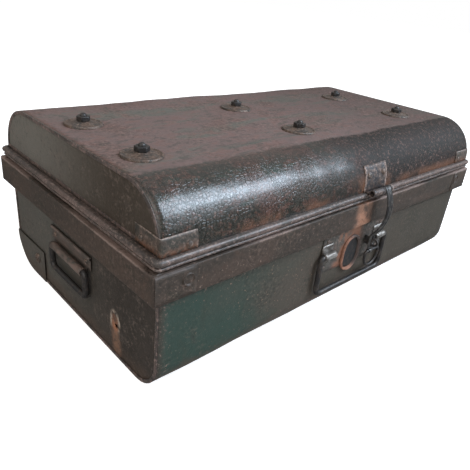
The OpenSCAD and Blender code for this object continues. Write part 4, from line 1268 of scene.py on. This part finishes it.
# --- Hasp plate ---------------------------------------------------------------------------
# A plate bent over the lid's front roll and held by two heavy rivets. Its foot is rolled into
# an open tube round the hasp's pin.
hasp_low, hasp_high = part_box("hasp_plate")
hasp_pin_low, hasp_pin_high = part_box("hasp_pin")
hasp_y = (hasp_pin_low.y + hasp_pin_high.y) / 2
hasp_z = (hasp_pin_low.z + hasp_pin_high.z) / 2
hasp_r = 0.0054
strap_low, strap_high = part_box("hasp_strap")
strap_x = (strap_low.x + strap_high.x) / 2
bm = bmesh.new()
on_roll(bm, hasp_low.x, 0.0016, plate_foot, hasp_high.z, 8)
run(bm, bm.edges[:], (hasp_high.x - hasp_low.x, 0, 0), 12)
set_side(bm, lambda f: -f.normal.y)
dent(bm, 0.02, 0.0008, shift=(0, 3, 0))

hasp_skin = Finish("hasp_plate_rust", metallic=0.2)
crust = hasp_skin.clouds(0.010, 5, 0.7, 0.6)
pit = hasp_skin.clouds(0.0025, 4, 0.75)
border = hasp_skin.rise(abs(hasp_skin.x - (hasp_low.x + hasp_high.x) / 2), 0.022, 0.0262)
colour = hasp_skin.mix(hasp_skin.rise(crust, 0.42, 0.60), (0.020, 0.021, 0.024), (0.066, 0.044, 0.035))
colour = hasp_skin.chipped(colour, (0.200, 0.145, 0.120), (0.010, 0.009, 0.009), 0.6, 0.004)
colour = hasp_skin.mix(border * hasp_skin.rise(pit, 0.36, 0.60), colour, (0.250, 0.180, 0.150))
colour = hasp_skin.mix(hasp_skin.rise(pit, 0.62, 0.74) * 0.7, colour, (0.260, 0.185, 0.150))
hasp_skin.set("Base Color", colour)
hasp_skin.set("Roughness", 0.40 + pit * 0.25)
hasp_skin.bump(crust * 0.8 + pit * 0.5, 0.0008, 0.7)
piece("hasp_backplate", bm, hasp_skin, "lid", ["hasp_plate"], sheet=0.0012)

bm = bmesh.new()
tube_x0 = hasp_low.x + 0.004
spans = ((tube_x0, strap_low.x - 0.0005 - tube_x0), (strap_high.x + 0.0005, 0.006))
for x, wide in spans:
    out = hasp_y + hasp_r - lid_low.y
    strip(bm, x, wide, (lid_low.y - 0.0004, hasp_z), [(out + 0.0004, 0), (hasp_y, hasp_z, 328)])
bmesh.ops.remove_doubles(bm, verts=bm.verts, dist=1e-6)
set_side(bm, lambda f: -f.normal.y if f.calc_center_median().y < hasp_y - 0.003 else 0)
piece("hasp_tube", bm, hasp_skin, "lid", sheet=0.0014)

bm = bmesh.new()
tilt = math.radians(18)
for x in (hasp_low.x + 0.010, hasp_high.x - 0.008):
    at = (x, fold_y - (front_r + 0.0012) * math.cos(tilt), roll_z + (front_r + 0.0012) * math.sin(tilt))
    lathe(bm, rivet_line(0.0052, 0.0028), aim(at, (0, -math.cos(tilt), math.sin(tilt))), 24)
piece("hasp_plate_rivets", bm, rusty, "lid", ["hasp_rivets"])

bm = bmesh.new()
half = (hasp_pin_high.x - hasp_pin_low.x) / 2
pin = [(0.0, half), (0.0026, half), (0.003, half - 0.0005), (0.003, 0.0005 - half),
       (0.0026, -half), (0.0, -half)]
lathe(bm, pin, aim(((hasp_pin_low.x + hasp_pin_high.x) / 2, hasp_y, hasp_z), (1, 0, 0)), 20)
piece("hasp_pin_rod", bm, bright, "lid", ["hasp_pin"])


# --- Hasp strap ---------------------------------------------------------------------------
# A bowed strap that swings on the pin and drops over the staple. It is pressed with two ribs
# along its length, and a tab at its foot is rolled into an eye for the pull.
bow_r = 0.0649
bow_in = bow_r - hasp_r
bow_start = 32.8
bow_end = 39.3
strap_t = 0.0026
half_rib = [(0.0018, 0.0001), (0.0032, 0.0008), (0.0050, 0.0008), (0.0068, 0.0000), (0.0075, -0.0008)]
ribs = [(-dx, up) for dx, up in reversed(half_rib)] + [(0.0, -0.0005)] + half_rib
bm = bmesh.new()
line = [bm.verts.new((strap_x + dx, hasp_y - hasp_r - up, hasp_z)) for dx, up in ribs]
tip = [bm.edges.new(pair) for pair in zip(line, line[1:])]
bmesh.ops.rotate(bm, verts=line, cent=(0, hasp_y, hasp_z), matrix=Matrix.Rotation(math.radians(-300), 3, "X"))
tip = only_edges(turn(bm, tip, (0, hasp_y, hasp_z), (1, 0, 0), 300 - bow_start, 20))
start = math.radians(bow_start)
bow_y, bow_z = hasp_y + bow_in * math.cos(start), hasp_z - bow_in * math.sin(start)
tip = only_edges(turn(bm, tip, (0, bow_y, bow_z), (1, 0, 0), bow_start + bow_end, 22))
end, knee = math.radians(bow_end), 0.008
knee_y = bow_y - (bow_r + knee) * math.cos(end)
knee_z = bow_z - (bow_r + knee) * math.sin(end)
tip = only_edges(turn(bm, tip, (0, knee_y, knee_z), (1, 0, 0), -bow_end, 6))
leg_y, leg_low = knee_y + knee, 0.092
run(bm, tip, (0, 0, leg_low - knee_z), 4)
slot_half, slot_low, slot_high = 0.0027, 0.094, knee_z - 0.0002
for at, way in (((strap_x - slot_half, 0, 0), (1, 0, 0)), ((strap_x + slot_half, 0, 0), (1, 0, 0)),
                ((0, 0, slot_low), (0, 0, 1)), ((0, 0, slot_high), (0, 0, 1))):
    cut(bm, at, way)
slot = []
for f in bm.faces:
    middle = f.calc_center_median()
    if abs(middle.x - strap_x) < slot_half and slot_low < middle.z < slot_high and middle.y < leg_y + 0.002:
        slot.append(f)
bmesh.ops.delete(bm, geom=slot, context="FACES")
set_side(bm, lambda f: -f.normal.y if f.calc_center_median().z < leg_low + 0.002 else 0)

forged = Finish("forged_strap", metallic=0.5)
crust = forged.clouds(0.008, 5, 0.7, 0.6, stretch=(1, 1, 0.5))
pit = forged.clouds(0.0018, 4, 0.75)
colour = forged.mix(forged.rise(crust, 0.42, 0.62), (0.024, 0.023, 0.023), (0.074, 0.068, 0.062))
colour = forged.mix(forged.rise(pit, 0.62, 0.74) * 0.7, colour, (0.140, 0.105, 0.085))
forged.set("Base Color", colour)
forged.set("Roughness", 0.30 + crust * 0.22)
forged.bump(crust * 0.5 + pit * 0.5, 0.0005, 0.6)
piece("bowed_strap", bm, forged, "hasp", ["hasp_strap"], sheet=strap_t, soften=0.0005, sharp=50)

eye_x, ring_y, ring_z, ring_r = strap_x + 0.002, leg_y + strap_t / 2, 0.086, 0.0022
eye_r = ring_r + 0.0014
bm = bmesh.new()
strip(bm, eye_x - 0.0035, 0.007, (leg_y, leg_low + 0.0004), [(0, ring_z + 0.0026 - leg_low)])
set_side(bm, lambda f: -f.normal.y)
piece("strap_tab", bm, forged, "hasp", sheet=strap_t)
bm = bmesh.new()
collar = [(ring_r + 0.0001, -0.0035), (ring_r + 0.0001, 0.0035), (eye_r - 0.0003, 0.0035), (eye_r, 0.0031),
          (eye_r, -0.0031), (eye_r - 0.0003, -0.0035)]
collar.append(collar[0])
lathe(bm, collar, aim((eye_x, ring_y, ring_z), (1, 0, 0)), 20)
piece("strap_eye", bm, forged, "hasp")

bm = bmesh.new()
bend, half, drop = 0.005, 0.018, 0.009
right, down = Vector((1, 0, 0)), Vector((0, 0, -1))
moves = [half - bend, (bend, down, 90), drop - bend, (half, -right, 180), drop - bend,
         (bend, right, 90), half - bend]
wire(bm, (strap_x + 0.010, ring_y, ring_z), right, ring_r, moves, 12)
piece("d_ring_pull", bm, iron, "ring", ["pull_ring"])


# --- Tray pan -----------------------------------------------------------------------------
# A shallow tray that lifts out. Front, floor and back are one folded sheet and the two ends are
# separate. It is painted grey-green, scratched and rusty in the corners.
pan_low, pan_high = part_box("tray_pan")
rim_low, rim_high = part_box("tray_rim")
tray_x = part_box("tray_right_end")[1].x
tray_t = 0.0009
divider_x = 0.112
bm = bmesh.new()
tip = [bm.verts.new((pan_low.x, pan_low.y, pan_high.z))]
tip = run(bm, tip, (0, 0, pan_low.z + 0.002 - pan_high.z), 6)
tip = turn(bm, tip, (pan_low.x, pan_low.y + 0.002, pan_low.z + 0.002), (1, 0, 0), 90, 4)
tip = run(bm, tip, (0, pan_high.y - pan_low.y - 0.004, 0), 30)
tip = turn(bm, tip, (pan_low.x, pan_high.y - 0.002, pan_low.z + 0.002), (1, 0, 0), 90, 4)
run(bm, tip, (0, 0, pan_high.z - pan_low.z - 0.002), 6)
run(bm, bm.edges[:], (pan_high.x - pan_low.x, 0, 0), 50)
set_side(bm, lambda f: -f.normal.z)


def tray_floor_slack(co):
    edge = min(tray_x - abs(co.x), pan_high.y - abs(co.y), abs(abs(co.x) - divider_x))
    return step(0.001, 0.03, edge) * (co.z < pan_low.z + 0.0005)


dent(bm, 0.07, 0.0007, tray_floor_slack)

tin = Finish("tray_paint")
drift = tin.clouds(0.07, 5, 0.6, 0.6)
speck = tin.clouds(0.0035, 4, 0.75)
scratch = tin.clouds(0.012, 5, 0.7, 0.3, stretch=(0.12, 1, 1))
corner = tin.rise(abs(tin.y) + (drift - 0.5) * 0.06, 0.155, 0.186)
corner = corner.at_least(tin.rise(abs(tin.x) + (drift - 0.5) * 0.06, 0.290, 0.325))
colour = tin.mix(tin.rise(drift, 0.40, 0.62), (0.080, 0.105, 0.088), (0.110, 0.118, 0.098))
colour = tin.mix(corner * tin.rise(speck, 0.40, 0.62) * 0.9, colour, (0.130, 0.075, 0.048))
colour = tin.mix(tin.rise(scratch, 0.62, 0.70) * 0.6, colour, (0.200, 0.190, 0.170))
colour = tin.mix(tin.rise(speck, 0.66, 0.75) * 0.7, colour, (0.150, 0.085, 0.055))
tin.set("Base Color", colour)
tin.set("Roughness", 0.48 + speck * 0.2)
tin.bump(drift * 0.3 + speck * 0.5, 0.0006, 0.5)
piece("tray_folded_pan", bm, tin, "tray", ["tray_pan"], sheet=tray_t)

for side, name in ((-1, "left"), (1, "right")):
    bm = bmesh.new()
    middle = Vector((side * tray_x, 0, (pan_low.z + pan_high.z) / 2))
    wide = Matrix.Diagonal((pan_high.z - pan_low.z, 2 * pan_high.y, 1, 1))
    place = Matrix.Translation(middle) @ Matrix.Rotation(math.pi / 2, 4, "Y") @ wide
    bmesh.ops.create_grid(bm, x_segments=6, y_segments=30, size=0.5, matrix=place)
    corners = [v for v in bm.verts if len(v.link_edges) == 2 and v.co.z < middle.z]
    bmesh.ops.bevel(bm, geom=corners, affect="VERTICES", offset=0.002, segments=3, profile=0.5, material=-1)
    face_out(bm, side)
    piece(f"tray_{name}_wall", bm, tin, "tray", [f"tray_{name}_end"], sheet=tray_t)

bm = bmesh.new()
rim_r = (rim_high.z - rim_low.z) / 2
rim_z = (rim_high.z + rim_low.z) / 2
centre_y = rim_low.y + rim_r
tip = [bm.verts.new((0, centre_y + rim_r * 0.36, rim_z - rim_r - 0.0006))]
tip = run(bm, tip, (0, -rim_r * 0.36, 0.0006), 1)
tip = turn(bm, tip, (0, centre_y, rim_z), (1, 0, 0), -330, 14)
sweep_round(bm, Vector((rim_high.x, rim_high.y)), 0.006 + rim_r, (40, 24))
set_side(bm, lambda f: f.normal.z if f.calc_center_median().z > rim_z + rim_r * 0.8 else 0)
piece("tray_rolled_rim", bm, tin, "tray", ["tray_rim"], sheet=0.0006)


# --- Tray dividers ------------------------------------------------------------------------
# Two cross walls of the tray's own sheet. Each has a folded foot that is spot-welded to the
# floor, and a hem along its top edge.
floor_z = pan_low.z + tray_t
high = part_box("tray_dividers")[1].z
inner = pan_high.y - tray_t - 0.0002
dividers = (("tray_divider_1", -divider_x, ["tray_dividers"]), ("tray_divider_2", divider_x, []))
for name, x, stands_for in dividers:
    bm = bmesh.new()
    tip = [bm.verts.new((x + 0.010, -inner, floor_z + tray_t))]
    tip = run(bm, tip, (-0.008, 0, 0), 2)
    tip = turn(bm, tip, (x + 0.002, 0, floor_z + tray_t + 0.002), (0, 1, 0), 90, 4)
    tip = run(bm, tip, (0, 0, high - floor_z - tray_t - 0.0032), 5)
    tip = turn(bm, tip, (x + 0.0012, 0, high - 0.0012), (0, 1, 0), 180, 6)
    run(bm, tip, (0, 0, -0.005), 1)
    run(bm, bm.edges[:], (0, 2 * inner, 0), 30)
    set_side(bm, lambda f: -f.normal.x if f.calc_center_median().z < high - 0.008 else 0)
    piece(name, bm, tin, "tray", stands_for, sheet=tray_t)


# --- Tray handles -------------------------------------------------------------------------
# A wire bail inside each end of the tray. Its turned ends sit in two clips rolled from strip,
# and all of it is bare steel gone dull, with specks of rust.
tray_clip_y, tray_clip_w = 0.041, 0.016
tray_bail_r = 0.0025
tray_wall = tray_x - tray_t
tray_bail_x = tray_wall - tray_bail_r - 0.00168
tray_bail_z = pan_high.z - 0.008
bm = bmesh.new()
grip_ring = tray_bail_r + 0.00128
clip_face = tray_wall - 0.0012
for side in (-1, 1):
    for y in (-tray_clip_y, tray_clip_y):
        before = set(bm.verts)
        tip = [bm.verts.new((side * clip_face, y - tray_clip_w / 2, tray_bail_z - 0.012))]
        tip = run(bm, tip, (0, 0, 0.012), 3)
        centre = (side * (clip_face - grip_ring), 0, tray_bail_z)
        turn(bm, tip, centre, (0, 1, 0), -side * 320, 20)
        run(bm, new_edges(bm, before), (0, tray_clip_w, 0), 4)


def clip_tail_side(face):
    """How far a face on a clip's flat tail looks into the tray."""
    middle = face.calc_center_median()
    return -face.normal.x * middle.x if middle.z < tray_bail_z - 0.006 else 0


set_side(bm, clip_tail_side)

dull_steel = Finish("tray_steel", metallic=0.6)
cloud = dull_steel.clouds(0.02, 5, 0.65, 0.5)
pit = dull_steel.clouds(0.0025, 4, 0.75)
colour = dull_steel.mix(dull_steel.rise(cloud, 0.42, 0.62), (0.115, 0.108, 0.098), (0.180, 0.165, 0.148))
colour = dull_steel.mix(dull_steel.rise(pit, 0.58, 0.72) * 0.8, colour, (0.120, 0.072, 0.048))
dull_steel.set("Base Color", colour)
dull_steel.set("Roughness", 0.42 + pit * 0.25)
dull_steel.bump(cloud * 0.4 + pit * 0.5, 0.0005, 0.5)
piece("tray_bail_clips", bm, dull_steel, "tray", ["tray_clips"], sheet=0.0011)

for side, name in ((-1, "left"), (1, "right")):
    rod = bail((side * tray_bail_x, 0, tray_bail_z), (0, 1, 0), width=0.110, drop=0.030,
               r=tray_bail_r, bend=0.008, stub=0.022)
    piece(f"tray_{name}_bail_rod", rod, dull_steel, f"tray_bail_{name}", [f"tray_{name}_bail"])


# --- Tray ledges --------------------------------------------------------------------------
# An angle of bare sheet inside each end of the body, its upright leg against the panel. The
# tray rests on the two of them.
ledge_low, ledge_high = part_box("tray_ledges")
bm = bmesh.new()
inside_x = ledge_high.x
for side in (-1, 1):
    before = set(bm.verts)
    tip = [bm.verts.new((side * (inside_x - 0.022), ledge_low.y, ledge_high.z))]
    tip = run(bm, tip, (side * 0.020, 0, 0), 3)
    tip = turn(bm, tip, (side * (inside_x - 0.002), 0, ledge_high.z - 0.002), (0, 1, 0), side * 90, 4)
    run(bm, tip, (0, 0, ledge_low.z - ledge_high.z + 0.002), 3)
    run(bm, new_edges(bm, before), (0, ledge_high.y - ledge_low.y, 0), 20)
set_side(bm, lambda f: f.normal.z if f.calc_center_median().z > ledge_high.z - 0.0005 else 0)
piece("tray_rest_ledges", bm, dull_steel, "trunk", ["tray_ledges"], sheet=0.0014)
